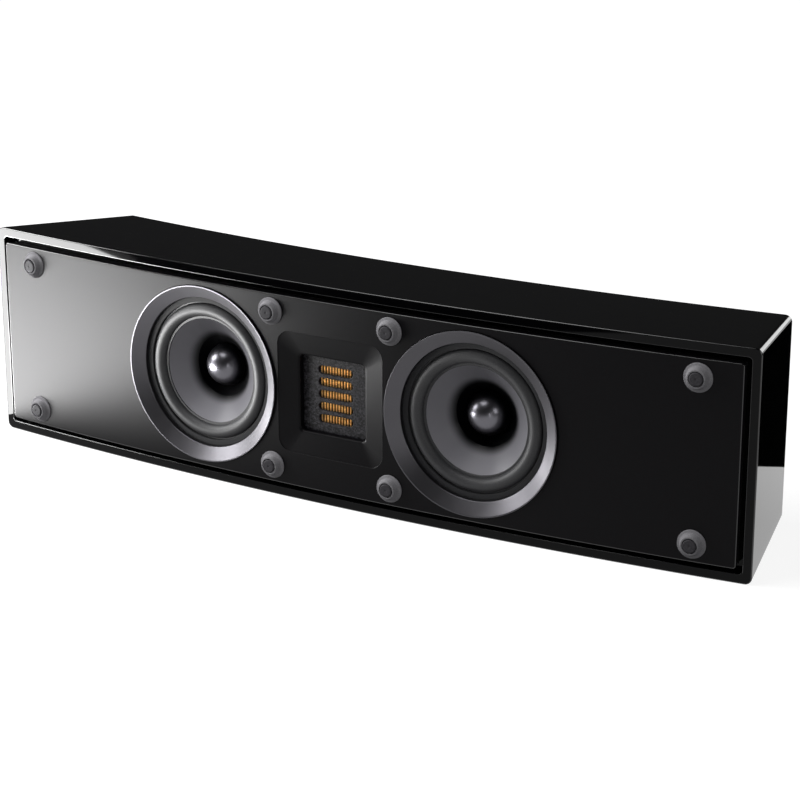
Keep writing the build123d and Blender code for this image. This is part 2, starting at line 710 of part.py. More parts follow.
def make_post():
    tip = POST_COLLAR + POST_LENGTH
    return turned(
        (0, -POST_STUD),
        (POST_STUD_RADIUS, -POST_STUD),
        (POST_STUD_RADIUS, 0),
        (POST_COLLAR_RADIUS, 0),
        (POST_COLLAR_RADIUS, POST_COLLAR),
        (POST_RADIUS, POST_COLLAR),
        (POST_RADIUS, tip),
        (BANANA_RADIUS, tip),
        (BANANA_RADIUS, tip - BANANA_DEPTH),
        (0, tip - BANANA_DEPTH),
    )


def make_thumb_nut():
    flutes = PolarLocations(NUT_RADIUS, NUT_FLUTES) * Circle(FLUTE_RADIUS)
    section = Circle(NUT_RADIUS) - flutes - Circle(POST_RADIUS + NUT_SLIP)
    return Pos(0, 0, POST_COLLAR + NUT_LIFT) * extrude(section, POST_LENGTH - 2 * NUT_LIFT)


def make_back_nut():
    hexagon = RegularPolygon(BACK_NUT_WIDTH / 2, 6, major_radius=False) - Circle(POST_STUD_RADIUS + SLIP / 2)
    return Pos(0, 0, -PLATE_THICKNESS - BACK_NUT_THICKNESS) * extrude(hexagon, BACK_NUT_THICKNESS)


# Crossover, braces and wadding

BOARD_LOW = WALL + STANDOFF_HEIGHT
BOARD_TOP = BOARD_LOW + BOARD_THICKNESS
BOARD_Y = BACK_Y - WALL - BOARD_BACK_GAP - BOARD_LENGTH / 2


def standoff_places():
    x = BOARD_WIDTH / 2 - STANDOFF_INSET
    y = BOARD_LENGTH / 2 - STANDOFF_INSET
    return [Pos(sx * x, BOARD_Y + sy * y, 0) for sx in (-1, 1) for sy in (-1, 1)]


def make_board():
    return Pos(0, BOARD_Y, 0) * block(BOARD_WIDTH, BOARD_LENGTH, BOARD_LOW, BOARD_TOP, BOARD_CORNER)


def make_inductors():
    offset = BOARD_WIDTH / 4
    coil = tube(INDUCTOR_RADIUS, INDUCTOR_BORE, BOARD_TOP, BOARD_TOP + INDUCTOR_HEIGHT)
    places = [Pos(-offset, BOARD_Y - BOARD_LENGTH / 4, 0), Pos(offset, BOARD_Y - BOARD_LENGTH / 4, 0)]
    return Compound(children=[place * coil for place in places])


def make_capacitors():
    can = Rot(0, 90, 0) * rod(CAPACITOR_RADIUS, -CAPACITOR_LENGTH / 2, CAPACITOR_LENGTH / 2)
    height = BOARD_TOP + CAPACITOR_RADIUS + SLIP / 2
    row = BOARD_Y + BOARD_LENGTH / 4
    places = [Pos(side * BOARD_WIDTH / 4, row, height) for side in (-1, 1)]
    return Compound(children=[place * can for place in places])


def make_resistors():
    height = BOARD_TOP + RESISTOR_SIDE / 2
    spread = RESISTOR_SIDE
    stick = Box(RESISTOR_LENGTH, RESISTOR_SIDE, RESISTOR_SIDE)
    places = [Pos(0, BOARD_Y + side * spread, height) for side in (-1, 1)]
    return Compound(children=[place * stick for place in places])


def make_brace(side):
    room = filled_form(WALL + SLIP / 2, BAFFLE_BACK + SLIP)
    middle = (FRONT_Y + BAFFLE_BACK + BACK_Y - WALL) / 2 + BRACE_OFFSET**2 / (FRONT_RADIUS + BACK_RADIUS)
    slab = Pos(side * BRACE_OFFSET, middle, 0) * Box(BRACE_THICKNESS, 2 * DEPTH, 3 * FRONT_HEIGHT)
    opening = Plane.YZ * RectangleRounded(BRACE_WINDOW_WIDTH, BRACE_WINDOW_HEIGHT, BRACE_WINDOW_WIDTH / 4)
    window = Pos(side * BRACE_OFFSET, middle, BACK_HEIGHT / 2) * extrude(opening, BRACE_THICKNESS, both=True)
    return room & slab - window


def make_pad(side):
    strip = Pos(side * WOOFER_OFFSET, BACK_Y) * Rectangle(PAD_WIDTH, DEPTH)
    plan = strip & back_disc(WALL + PAD_THICKNESS) - back_disc(WALL + SLIP / 2)
    return Pos(0, 0, BACK_HEIGHT / 2 - PAD_HEIGHT / 2) * extrude(plan, PAD_HEIGHT)


# Write the pieces

save("cabinet_shell", make_shell())
save("front_baffle", make_baffle())
save("baffle_seal", make_seal())
save("left_brace", make_brace(-1))
save("right_brace", make_brace(1))
save("left_wadding", make_pad(-1))
save("right_wadding", make_pad(1))

woofer_pieces = {
    "trim_ring": make_trim_ring(),
    "basket": make_basket(),
    "basket_screws": Compound(children=[place * make_basket_screw() for place in screw_places()]),
    "gasket": make_gasket(),
    "surround": make_surround(),
    "cone": make_cone(),
    "dust_cap": make_dust_cap(),
    "coil_former": make_former(),
    "coil_winding": make_winding(),
    "spider": make_spider(),
    "top_plate": make_top_plate(),
    "ring_magnet": make_magnet(),
    "pole_yoke": make_yoke(),
}
for side, plane in woofer_planes.items():
    for name, piece in woofer_pieces.items():
        save(f"{side}_{name}", plane.location * piece)

tweeter_pieces = {
    "face_plate": make_slot_plate(FACE_DEPTH, FACE_THICKNESS),
    "pleated_film": make_film(),
    "film_frame": make_frame(),
    "bar_magnets": make_bar_magnets(),
    "rear_plate": make_slot_plate(REAR_PLATE_DEPTH, REAR_PLATE_THICKNESS),
    "back_cup": make_back_cup(),
    "screws": Compound(children=[place * make_cup_screw() for place in cup_screw_places()]),
}
for name, piece in tweeter_pieces.items():
    save(f"tweeter_{name}", tweeter_plane.location * piece)

save("grille_studs", Compound(children=[plane.location * make_stud() for plane in stud_planes]))
save("grille_stud_inserts", Compound(children=[plane.location * make_insert() for plane in stud_planes]))

save("terminal_plate", terminal_plane.location * make_terminal_plate())
screws = [terminal_plane.location * place * make_plate_screw() for place in plate_screw_places()]
save("terminal_screws", Compound(children=screws))
for colour, side in (("red", -1), ("black", 1)):
    save(f"{colour}_post", terminal_plane.location * post_place(side) * make_post())
    save(f"{colour}_thumb_nut", terminal_plane.location * post_place(side) * make_thumb_nut())
back_nuts = [terminal_plane.location * post_place(side) * make_back_nut() for side in (-1, 1)]
save("post_back_nuts", Compound(children=back_nuts))

save("crossover_board", make_board())
save("crossover_inductors", make_inductors())
save("crossover_capacitors", make_capacitors())
save("crossover_resistors", make_resistors())
standoffs = [place * rod(STANDOFF_RADIUS, WALL, BOARD_LOW) for place in standoff_places()]
save("crossover_standoffs", Compound(children=standoffs))
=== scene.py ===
# %% [markdown]
# # A centre channel loudspeaker
# A wide loudspeaker that lies under a screen: a lacquered cabinet with an arc-shaped front, two woofers, and
# between them a pleated tweeter behind a slotted plate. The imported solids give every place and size, and this
# lesson gives the pieces their fine edges and finishes.
# Shapes are worked out in millimetres, as on a drawing, and become metres when their mesh is made. X runs to the
# listener's right, Y to the back and Z up.

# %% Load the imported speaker
import json
from math import asin, cos, hypot, pi, radians, sin, sqrt

import bmesh
import bpy
import numpy as np
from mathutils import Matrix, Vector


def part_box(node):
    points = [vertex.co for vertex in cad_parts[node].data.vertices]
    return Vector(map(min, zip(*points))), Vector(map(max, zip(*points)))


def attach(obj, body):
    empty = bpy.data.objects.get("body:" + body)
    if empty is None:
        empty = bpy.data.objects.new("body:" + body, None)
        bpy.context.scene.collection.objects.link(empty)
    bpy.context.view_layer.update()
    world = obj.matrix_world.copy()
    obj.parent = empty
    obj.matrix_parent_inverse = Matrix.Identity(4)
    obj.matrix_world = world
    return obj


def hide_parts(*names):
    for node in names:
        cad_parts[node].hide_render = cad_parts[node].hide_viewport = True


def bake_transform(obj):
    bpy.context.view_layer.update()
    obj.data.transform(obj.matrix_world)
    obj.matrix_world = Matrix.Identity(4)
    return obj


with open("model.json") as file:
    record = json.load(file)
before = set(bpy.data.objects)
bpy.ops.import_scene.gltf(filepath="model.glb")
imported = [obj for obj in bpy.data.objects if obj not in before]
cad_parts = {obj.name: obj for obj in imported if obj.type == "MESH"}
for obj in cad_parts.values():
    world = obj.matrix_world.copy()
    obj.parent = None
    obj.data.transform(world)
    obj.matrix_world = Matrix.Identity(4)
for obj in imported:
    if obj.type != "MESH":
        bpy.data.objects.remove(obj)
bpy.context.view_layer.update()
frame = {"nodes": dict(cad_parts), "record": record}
MM = 0.001

# %% [markdown]
# ## Meshes from arrays
# A surface here is a grid of points: rows by columns by three numbers. Two neighbours in a row and the two below
# them make one quad, and points that fall together are merged, which closes seams, poles and the joins between
# grids. Modelling by hand would give the same shapes, but a grid keeps each one tied to its formula.

# %% Grids to pieces
MERGE_DISTANCE = 0.002
SHARP_ANGLE = 38.0


def run_length(points, axis):
    """Distance covered along one way of a grid: the steps between neighbours, averaged across and summed."""
    steps = np.linalg.norm(np.diff(points, axis=axis), axis=2)
    return np.concatenate([[0.0], np.cumsum(steps.mean(axis=1 - axis))])


def cell_corners(values):
    """The four corners of every cell of a grid, in order round the cell."""
    corners = [values[:-1, :-1], values[:-1, 1:], values[1:, 1:], values[1:, :-1]]
    return np.stack(corners, axis=2)


def make_mesh(name, patches):
    """One closed mesh from grids in millimetres; its UV map holds the distances along each grid, in metres."""
    counts = [points.shape[0] * points.shape[1] for points in patches]
    firsts = np.cumsum([0] + counts[:-1])
    quads = [cell_corners(first + np.arange(count).reshape(points.shape[:2])).reshape(-1, 4)
             for points, first, count in zip(patches, firsts, counts)]
    runs = [np.stack(np.meshgrid(run_length(points, 1), run_length(points, 0)), axis=2) for points in patches]
    places = np.concatenate([points.reshape(-1, 3) for points in patches]) * MM
    mesh = bpy.data.meshes.new(name)
    mesh.from_pydata(places.tolist(), [], np.concatenate(quads).tolist())
    uv = np.concatenate([cell_corners(run).reshape(-1, 2) for run in runs]) * MM
    mesh.uv_layers.new(name="run").data.foreach_set("uv", uv.ravel())
    shell = bmesh.new()
    shell.from_mesh(mesh)
    bmesh.ops.remove_doubles(shell, verts=shell.verts, dist=MERGE_DISTANCE * MM)
    bmesh.ops.recalc_face_normals(shell, faces=shell.faces)
    shell.to_mesh(mesh)
    shell.free()
    mesh.shade_smooth()
    mesh.set_sharp_from_angle(angle=radians(SHARP_ANGLE))
    return mesh


def make_piece(name, patches, finish, slot, body, *nodes):
    """A piece that stands for CAD nodes: its mesh, finish and the body it rides on, if it has one body; the slot
    argument is not used.
    """
    piece = bpy.data.objects.new(name, make_mesh(name, patches))
    bpy.context.scene.collection.objects.link(piece)
    piece.data.materials.append(finish)
    weighted = piece.modifiers.new("even_shading", "WEIGHTED_NORMAL")
    weighted.keep_sharp = True
    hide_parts(*nodes)
    if body:
        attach(piece, body)
    size = np.ptp(np.concatenate([points.reshape(-1, 3) for points in patches]), axis=0)
    print(f"{name}: {len(piece.data.polygons)} faces, {np.round(size, 1).tolist()} mm")
    return piece


# %% [markdown]
# ## Profiles and loops
# Most pieces here were turned on a lathe, pressed in round tools or routed along an outline, so two kinds of
# curve make nearly all of them: a profile of radius and height, and a closed loop round a rounded rectangle.
# No real edge is knife sharp, so a profile's corners are eased, and the easing is what catches the light.

# %% Curves that the pieces share
TURN_STEPS = 144
EASE_STEPS = 5


def eased(corners, reaches):
    """Closed outline with eased corners: each is a parabola that starts and ends a reach away along its sides."""
    corners = np.array(corners, float)
    reaches = np.broadcast_to(reaches, len(corners))[:, None]
    back = np.roll(corners, 1, axis=0) - corners
    ahead = np.roll(corners, -1, axis=0) - corners
    start = corners + reaches * back / np.linalg.norm(back, axis=1, keepdims=True)
    end = corners + reaches * ahead / np.linalg.norm(ahead, axis=1, keepdims=True)
    s = np.linspace(0, 1, EASE_STEPS + 1)[None, :, None]
    curves = (1 - s) ** 2 * start[:, None] + 2 * s * (1 - s) * corners[:, None] + s**2 * end[:, None]
    outline = curves.reshape(-1, 2)
    return np.concatenate([outline, outline[:1]])


def placed(local, place):
    """Points given across, up and out of a place, moved into the speaker's frame."""
    origin, axes = place
    return origin + local @ axes


def turned(profile, place, steps=TURN_STEPS):
    """Grid of a turned shape: a profile of radius and height carried once round the axis of a place."""
    angle = np.linspace(0, 2 * pi, steps + 1)
    radius, height = np.array(profile, float).T[:, :, None]
    local = np.stack([radius * np.cos(angle), radius * np.sin(angle), height + 0 * angle], axis=2)
    return placed(local, place)


def rounded_loop(half_width, half_height, corner, along, up, arc_steps):
    """Closed rounded rectangle: straight sides sampled at along and up, from -1 to 1, and four quarter arcs."""
    x, z = half_width - corner, half_height - corner
    turn = np.linspace(0, pi / 2, arc_steps + 1)[1:-1]
    rise, fall = corner * np.sin(turn), corner * np.cos(turn)
    still_x, still_z = 0 * along, 0 * up
    sides = [
        (along * x, still_x - half_height), (x + rise, -z - fall),
        (still_z + half_width, up * z), (x + fall, z + rise),
        (-along * x, still_x + half_height), (-x - rise, z + fall),
        (still_z - half_width, -up * z), (-x - fall, -z - rise),
    ]
    loop = np.concatenate([np.stack(side, axis=1) for side in sides])
    return np.concatenate([loop, loop[:1]])


print("profiles are turned in", TURN_STEPS, "steps")

# %% [markdown]
# ## The speaker's arcs
# The cabinet is an arc in plan. Its front and back are bent to two large radii, its side walls lean in towards
# the back and its top falls away a little. These are the same driving sizes as in the solids, and the frame's
# boxes give the places of the drivers.

# %% Driving sizes and places
FRONT_WIDTH, BACK_WIDTH = 740.0, 668.0
FRONT_HEIGHT, BACK_HEIGHT = 190.0, 176.0
FRONT_RADIUS, BACK_RADIUS = 3250.0, 2430.0
BAFFLE_PROUD = 3.0
WALL, SLIP = 18.0, 0.2

shell_low, shell_high = np.array(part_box("cabinet_shell")) / MM
FRONT_Y, BACK_END_Y = shell_low[1], shell_high[1]
ARC_Y = FRONT_Y + FRONT_RADIUS
FACE_RADIUS = FRONT_RADIUS + BAFFLE_PROUD
BACK_ARC_Y = BACK_END_Y + sqrt(BACK_RADIUS**2 - (BACK_WIDTH / 2) ** 2)
BACK_Y = BACK_ARC_Y - BACK_RADIUS
SIDE_FRONT_Y = ARC_Y - sqrt(FRONT_RADIUS**2 - (FRONT_WIDTH / 2) ** 2)
SIDE_LEAN = (FRONT_WIDTH - BACK_WIDTH) / 2 / (BACK_END_Y - SIDE_FRONT_Y)
TOP_FALL = (FRONT_HEIGHT - BACK_HEIGHT) / (BACK_Y - FRONT_Y)


def face_place(x, z):
    """Place on the baffle's arc: across and up lie in the face, and out points at the listener."""
    turn = asin(x / FACE_RADIUS)
    axes = np.array([[cos(turn), sin(turn), 0], [0, 0, 1], [sin(turn), -cos(turn), 0]])
    return np.array([x, ARC_Y - FACE_RADIUS * cos(turn), z]), axes


ring_low, ring_high = np.array(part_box("right_trim_ring")) / MM
DRIVER_HEIGHT = (ring_low[2] + ring_high[2]) / 2
RING_RADIUS = (ring_high[2] - ring_low[2]) / 2
WOOFER_OFFSET = 131.4
SIDES = {"left": -1, "right": 1}
woofer_places = {side: face_place(sign * WOOFER_OFFSET, DRIVER_HEIGHT) for side, sign in SIDES.items()}
tweeter_place = face_place(0.0, DRIVER_HEIGHT)
print("drivers at height", round(DRIVER_HEIGHT, 2), "mm, trim ring radius", round(RING_RADIUS, 2), "mm")

# %% [markdown]
# ## Camera
# The picture looks down a little on the right end of the speaker from a few metres away. A long lens keeps the
# long box's lines nearly parallel, as a product photographer would.

# %% Camera at the photograph's angle
CAMERA_PLACE = (1.0107, -1.6331, 0.6917)
CAMERA_TILT, CAMERA_PAN = radians(90 - 17.92), radians(31.36)
CAMERA_LENS = 105.8

camera_data = bpy.data.cameras.new("camera")
camera_data.lens = CAMERA_LENS
camera = bpy.data.objects.new("camera", camera_data)
camera.location = CAMERA_PLACE
camera.rotation_euler = (CAMERA_TILT, 0, CAMERA_PAN)
bpy.context.scene.collection.objects.link(camera)
bpy.context.scene.camera = camera
print("camera", camera_data.lens, "mm at", CAMERA_PLACE)

# %% [markdown]
# ## Materials: the helper
# Colours are written as sRGB hex values, as they are read off a picture, and one function turns them to the
# linear numbers that the shader wants. One more function adds a node, sets its settings and links its sockets.
# Pattern sizes are written in millimetres.

# %% Colour and node helpers
def linear(colour):
    """sRGB hex to linear RGBA: a straight part near black, then a power of 2.4."""
    value = np.array([int(colour[i:i + 2], 16) for i in (1, 3, 5)]) / 255
    value = np.where(value <= 0.04045, value / 12.92, ((value + 0.055) / 1.055) ** 2.4)
    return (*value.tolist(), 1.0)


def add(material, kind, sockets, **settings):
    """One node of a material: settings are its properties, and each socket gets a value or another's output."""
    tree = material.node_tree
    node = tree.nodes.new(kind)
    for name, value in settings.items():
        setattr(node, name, value)
    for name, value in sockets.items():
        if isinstance(value, bpy.types.NodeSocket):
            tree.links.new(value, node.inputs[name])
        else:
            node.inputs[name].default_value = value
    return node


def blank_material(name):
    """A material with no nodes yet."""
    material = bpy.data.materials.new(name)
    material.use_nodes = True
    material.node_tree.nodes.clear()
    return material


def per_metre(size):
    """A texture's scale from the size of its pattern in millimetres."""
    return 1 / (size * MM)


def bands_per_metre(size):
    """The same for bands, which repeat every 2 pi / 20 at a scale of 1."""
    return per_metre(size) * 2 * pi / 20


def show(material, sockets):
    """Ends a material with the Principled shader and the output."""
    shader = add(material, "ShaderNodeBsdfPrincipled", sockets)
    add(material, "ShaderNodeOutputMaterial", {"Surface": shader.outputs["BSDF"]})
    return material


print("white is", linear("#ffffff"), "and black is", linear("#000000"))

# %% [markdown]
# ## Materials with a grain
# Paint, moulded plastic, rubber, plating and board all share one look: two close tones that drift into each
# other at the size of the grain, a roughness that drifts with them, and a shallow bump. One function makes that
# family, and each finish states what it is, how it was made and its own numbers.

# %% A grained finish
def grained(name, dark, light, grain, roughness, depth, edge_gloss=None, **shader):
    """Two tones mixed by noise of a grain size in mm, which also drives the roughness and a bump of a depth in mm."""
    material = blank_material(name)
    where = add(material, "ShaderNodeTexCoord", {}).outputs["Object"]
    noise = add(material, "ShaderNodeTexNoise", {"Vector": where, "Scale": per_metre(grain), "Detail": 3.0})
    drift = noise.outputs["Fac"]
    tone = add(material, "ShaderNodeValToRGB", {"Fac": drift})
    tone.color_ramp.elements[0].position, tone.color_ramp.elements[0].color = 0.3, linear(dark)
    tone.color_ramp.elements[1].position, tone.color_ramp.elements[1].color = 0.7, linear(light)
    smooth, rough = roughness
    gloss = add(material, "ShaderNodeMapRange", {"Value": drift, "To Min": smooth, "To Max": rough})
    bump = add(material, "ShaderNodeBump", {"Height": drift, "Strength": 0.6, "Distance": depth * MM})
    sockets = {socket.replace("_", " "): value for socket, value in shader.items()}
    if edge_gloss is not None:
        edge = add(material, "ShaderNodeAttribute", {}, attribute_name="edge")
        sockets |= {"Coat Weight": edge.outputs["Fac"], "Coat Roughness": edge_gloss}
    return show(material, {"Base Color": tone.outputs["Color"], "Roughness": gloss.outputs["Result"],
                           "Normal": bump.outputs["Normal"], **sockets})


finishes = {
    # Fibreboard sprayed, flatted and polished: a deep black mirror with the faintest waviness. Its rounded edges
    # are buffed most, so a clear coat there draws a thin bright line.
    "lacquer": grained("polished_black_lacquer", "#030304", "#050506", 9.0, (0.04, 0.06), 0.002, edge_gloss=0.1,
                       Specular_IOR_Level=0.09),
    # Fibreboard with a satin black spray paint; the real grit of 0.2 mm is drawn at 0.9 mm to show. Its edges are
    # rubbed smooth too.
    "baffle_paint": grained("satin_black_spray_paint", "#050406", "#0a090b", 0.9, (0.34, 0.42), 0.012, edge_gloss=0.1,
                            Specular_IOR_Level=0.07),
    # Bare fibreboard: pressed wood fibre, matt and tan.
    "raw_board": grained("pressed_fibreboard", "#8b6d4a", "#a98a62", 1.6, (0.75, 0.9), 0.08),
    # Closed-cell foam tape: matt black with fine pores.
    "foam": grained("closed_cell_foam", "#08080a", "#16161a", 0.7, (0.85, 0.95), 0.15),
    # Polyester wadding: a white mat of loose fibres.
    "wadding": grained("polyester_wadding", "#c9c8c2", "#f0efea", 3.5, (0.9, 1.0), 1.2, Sheen_Weight=0.3),
    # Glass-filled polymer from a moulding tool with a spark-eroded grain.
    "basket": grained("moulded_glass_filled_polymer", "#101012", "#1c1c1f", 0.8, (0.45, 0.6), 0.03),
    # Steel screws with black zinc plating.
    "screw": grained("black_zinc_plated_steel", "#242426", "#3a3a3d", 1.2, (0.3, 0.45), 0.01, Metallic=1.0),
    # Moulded butyl rubber with a light bloom: dark grey with a soft sheen.
    "surround": grained("moulded_butyl_rubber", "#222224", "#2e2e30", 1.1, (0.5, 0.58), 0.012,
                        Specular_IOR_Level=0.35),
    # Rolled aluminium tube for the coil.
    "former": grained("rolled_aluminium", "#b9b9bb", "#cfcfd1", 2.0, (0.3, 0.4), 0.004, Metallic=1.0),
    # Mild steel with bright zinc plating.
    "steel": grained("zinc_plated_steel", "#8f9094", "#b2b3b6", 4.0, (0.3, 0.42), 0.006, Metallic=1.0),
    # Sintered ferrite: dense, dark and matt.
    "ferrite": grained("sintered_ferrite", "#2c2c2e", "#3d3d40", 1.5, (0.6, 0.75), 0.02),
    # Neodymium bars with nickel plating.
    "neodymium": grained("nickel_plated_neodymium", "#a5a29b", "#c2bfb8", 3.0, (0.2, 0.3), 0.003, Metallic=1.0),
    # Moulded black polymer with a fine grain.
    "polymer": grained("moulded_black_polymer", "#131314", "#1f1f21", 0.9, (0.4, 0.55), 0.02),
    # Firm moulded rubber for the studs: dark grey and satin.
    "stud": grained("firm_moulded_rubber", "#6c6b6e", "#7e7d80", 0.8, (0.5, 0.6), 0.01, Specular_IOR_Level=0.0),
    # Pressed steel insert with a dark plating.
    "stud_insert": grained("dark_plated_steel", "#363538", "#454447", 1.0, (0.46, 0.56), 0.006,
                           Specular_IOR_Level=0.03),
    # Brass turned and flash-plated with gold.
    "gold_plate": grained("gold_plated_brass", "#d1a24d", "#e6bd6a", 3.0, (0.14, 0.22), 0.002, Metallic=1.0),
    # Moulded polymer nuts, one clear red and one black, with a tool-polished face.
    "red_nut": grained("moulded_red_polymer", "#8e0d10", "#b0181b", 3.0, (0.14, 0.2), 0.003,
                       Transmission_Weight=0.15, IOR=1.5),
    "black_nut": grained("moulded_gloss_black_polymer", "#0b0b0c", "#141415", 3.0, (0.14, 0.2), 0.003),
    # Green solder mask over glass-epoxy board.
    "board": grained("solder_masked_board", "#173d24", "#1f5230", 5.0, (0.3, 0.4), 0.01),
    # Shrink sleeve of a film capacitor.
    "capacitor": grained("shrink_sleeved_film", "#7c2a1c", "#94372a", 4.0, (0.3, 0.4), 0.02),
    # Slip-cast ceramic of a power resistor.
    "ceramic": grained("unglazed_ceramic", "#d8d5cb", "#e8e6de", 1.0, (0.7, 0.85), 0.03),
}
print(len(finishes), "grained finishes")

# %% [markdown]
# ## Materials with a direction
# Turned, wound, woven and blasted surfaces show how they were made. The trim ring carries the fine rings of the
# lathe, so its pattern follows the distance along its profile, which the UV map holds. The same bands, at wire
# size, make a coil, and two sets of them crossed make the woven spider.

# %% Finishes that follow the surface
# Where the cone's painted shade begins and where it turns black, along the profile from the lip, in mm.
NECK_SHADE_START, NECK_SHADE_END = 19.0, 29.0
# The ball's radius, and the width over which its coat fades into the ring of painted shade round its foot, in mm.
BALL_RADIUS, RING_SHADE_FEATHER = 18.5, 3.0
PLEAT_DEPTH = 4.2


def turned_aluminium():
    """Aluminium turned and anodised satin silver: fine lathe rings, drawn at 0.5 mm so that they show."""
    material = blank_material("turned_anodised_aluminium")
    run = add(material, "ShaderNodeUVMap", {}, uv_map="run").outputs["UV"]
    rings = add(material, "ShaderNodeTexWave", {"Vector": run, "Scale": bands_per_metre(0.5), "Distortion": 0.4},
                bands_direction="Y")
    where = add(material, "ShaderNodeTexCoord", {}).outputs["Object"]
    cloud = add(material, "ShaderNodeTexNoise", {"Vector": where, "Scale": per_metre(12)})
    gloss = add(material, "ShaderNodeMapRange", {"Value": cloud.outputs["Fac"], "To Min": 0.36, "To Max": 0.44})
    bump = add(material, "ShaderNodeBump", {"Height": rings.outputs["Fac"], "Strength": 0.2, "Distance": 0.002 * MM})
    return show(material, {"Base Color": linear("#48474a"), "Metallic": 1.0,
                           "Roughness": gloss.outputs["Result"], "Normal": bump.outputs["Normal"]})


def coated_cone():
    """Pressed cone with a satin grey metal coat; its colour is painted darker, to black, towards the cap as painted
    shade of the steep neck round the dark cap.
    """
    material = blank_material("satin_coated_pressed_cone")
    where = add(material, "ShaderNodeTexCoord", {}).outputs["Object"]
    cloud = add(material, "ShaderNodeTexNoise", {"Vector": where, "Scale": per_metre(6), "Detail": 3.0})
    grit = add(material, "ShaderNodeTexNoise", {"Vector": where, "Scale": per_metre(0.7), "Detail": 2.0})
    run = add(material, "ShaderNodeUVMap", {}, uv_map="run").outputs["UV"]
    along = add(material, "ShaderNodeSeparateXYZ", {"Vector": run}).outputs["Y"]
    # Painted shade: the cone's colour fades from grey to black towards the cap.
    neck_shade = add(material, "ShaderNodeMapRange",
                  {"Value": along, "From Min": NECK_SHADE_START * MM, "From Max": NECK_SHADE_END * MM},
                  interpolation_type="SMOOTHSTEP")
    tone = add(material, "ShaderNodeValToRGB", {"Fac": neck_shade.outputs["Result"]})
    tone.color_ramp.elements[0].color, tone.color_ramp.elements[1].color = linear("#737277"), linear("#030304")
    gloss = add(material, "ShaderNodeMapRange", {"Value": cloud.outputs["Fac"], "To Min": 0.32, "To Max": 0.4})
    bump = add(material, "ShaderNodeBump", {"Height": grit.outputs["Fac"], "Strength": 0.3, "Distance": 0.004 * MM})
    return show(material, {"Base Color": tone.outputs["Color"], "Specular IOR Level": 0.1,
                           "Roughness": gloss.outputs["Result"], "Normal": bump.outputs["Normal"]})


def moulded_cap():
    """Moulded black cap: the ball has a satin black-chrome coat that mirrors the studio softly, and its ring is painted
    near black as painted shade round the ball's foot.
    """
    material = blank_material("satin_black_chromed_moulding")
    run = add(material, "ShaderNodeUVMap", {}, uv_map="run").outputs["UV"]
    along = add(material, "ShaderNodeSeparateXYZ", {"Vector": run}).outputs["Y"]
    edge = BALL_RADIUS * pi / 2
    # Painted shade: the ring round the ball's foot is coloured near black.
    ring_shade = add(material, "ShaderNodeMapRange",
               {"Value": along, "From Min": (edge - RING_SHADE_FEATHER) * MM, "From Max": edge * MM})
    tone = add(material, "ShaderNodeValToRGB", {"Fac": ring_shade.outputs["Result"]})
    tone.color_ramp.elements[0].color, tone.color_ramp.elements[1].color = linear("#5e5d62"), linear("#020203")
    gloss = add(material, "ShaderNodeMapRange", {"Value": ring_shade.outputs["Result"], "To Min": 0.3, "To Max": 0.6})
    return show(material, {"Base Color": tone.outputs["Color"], "Metallic": 1.0, "Roughness": gloss.outputs["Result"]})


def sanded_steel():
    """Steel plate with a sand-textured grey coat: grains of 0.4 mm, drawn at 1.2 mm so that they show."""
    material = blank_material("sand_textured_grey_coat")
    where = add(material, "ShaderNodeTexCoord", {}).outputs["Object"]
    grains = add(material, "ShaderNodeTexVoronoi", {"Vector": where, "Scale": per_metre(1.2)})
    chance = add(material, "ShaderNodeSeparateColor", {"Color": grains.outputs["Color"]}).outputs["Red"]
    tone = add(material, "ShaderNodeValToRGB", {"Fac": chance})
    tone.color_ramp.elements[0].position, tone.color_ramp.elements[0].color = 0.25, linear("#030204")
    tone.color_ramp.elements[1].position, tone.color_ramp.elements[1].color = 1.0, linear("#3a393d")
    bump = add(material, "ShaderNodeBump",
               {"Height": grains.outputs["Distance"], "Strength": 0.8, "Distance": 0.2 * MM})
    return show(material, {"Base Color": tone.outputs["Color"], "Roughness": 0.5, "Specular IOR Level": 0.12,
                           "Normal": bump.outputs["Normal"]})


def etched_film():
    """Amber film painted light gold on the crests of the folds, fading to near black down between them: painted light
    on the crests and painted shade in the creases.
    """
    material = blank_material("amber_film_with_painted_fold_shade")
    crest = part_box("tweeter_pleated_film")[0][1]
    where = add(material, "ShaderNodeTexCoord", {}).outputs["Object"]
    back = add(material, "ShaderNodeSeparateXYZ", {"Vector": where}).outputs["Y"]
    # Painted light and shade: the colour goes from light gold at the crests to near black halfway down each fold.
    depth = add(material, "ShaderNodeMapRange",
                {"Value": back, "From Min": crest, "From Max": crest + PLEAT_DEPTH * MM})
    tone = add(material, "ShaderNodeValToRGB", {"Fac": depth.outputs["Result"]})
    tone.color_ramp.elements[0].position, tone.color_ramp.elements[0].color = 0.08, linear("#ffd79a")
    tone.color_ramp.elements[1].position, tone.color_ramp.elements[1].color = 0.5, linear("#140a03")
    return show(material, {"Base Color": tone.outputs["Color"], "Metallic": 0.5, "Roughness": 0.35})


def wound_wire():
    """Enamelled copper wire in close turns, 0.8 mm apart up the coil's axis."""
    material = blank_material("wound_enamelled_copper")
    where = add(material, "ShaderNodeTexCoord", {}).outputs["Object"]
    turns = add(material, "ShaderNodeTexWave", {"Vector": where, "Scale": bands_per_metre(0.8)}, bands_direction="Z")
    bump = add(material, "ShaderNodeBump", {"Height": turns.outputs["Fac"], "Distance": 0.3 * MM})
    return show(material, {"Base Color": linear("#b5652f"), "Metallic": 1.0, "Roughness": 0.28,
                           "Normal": bump.outputs["Normal"]})


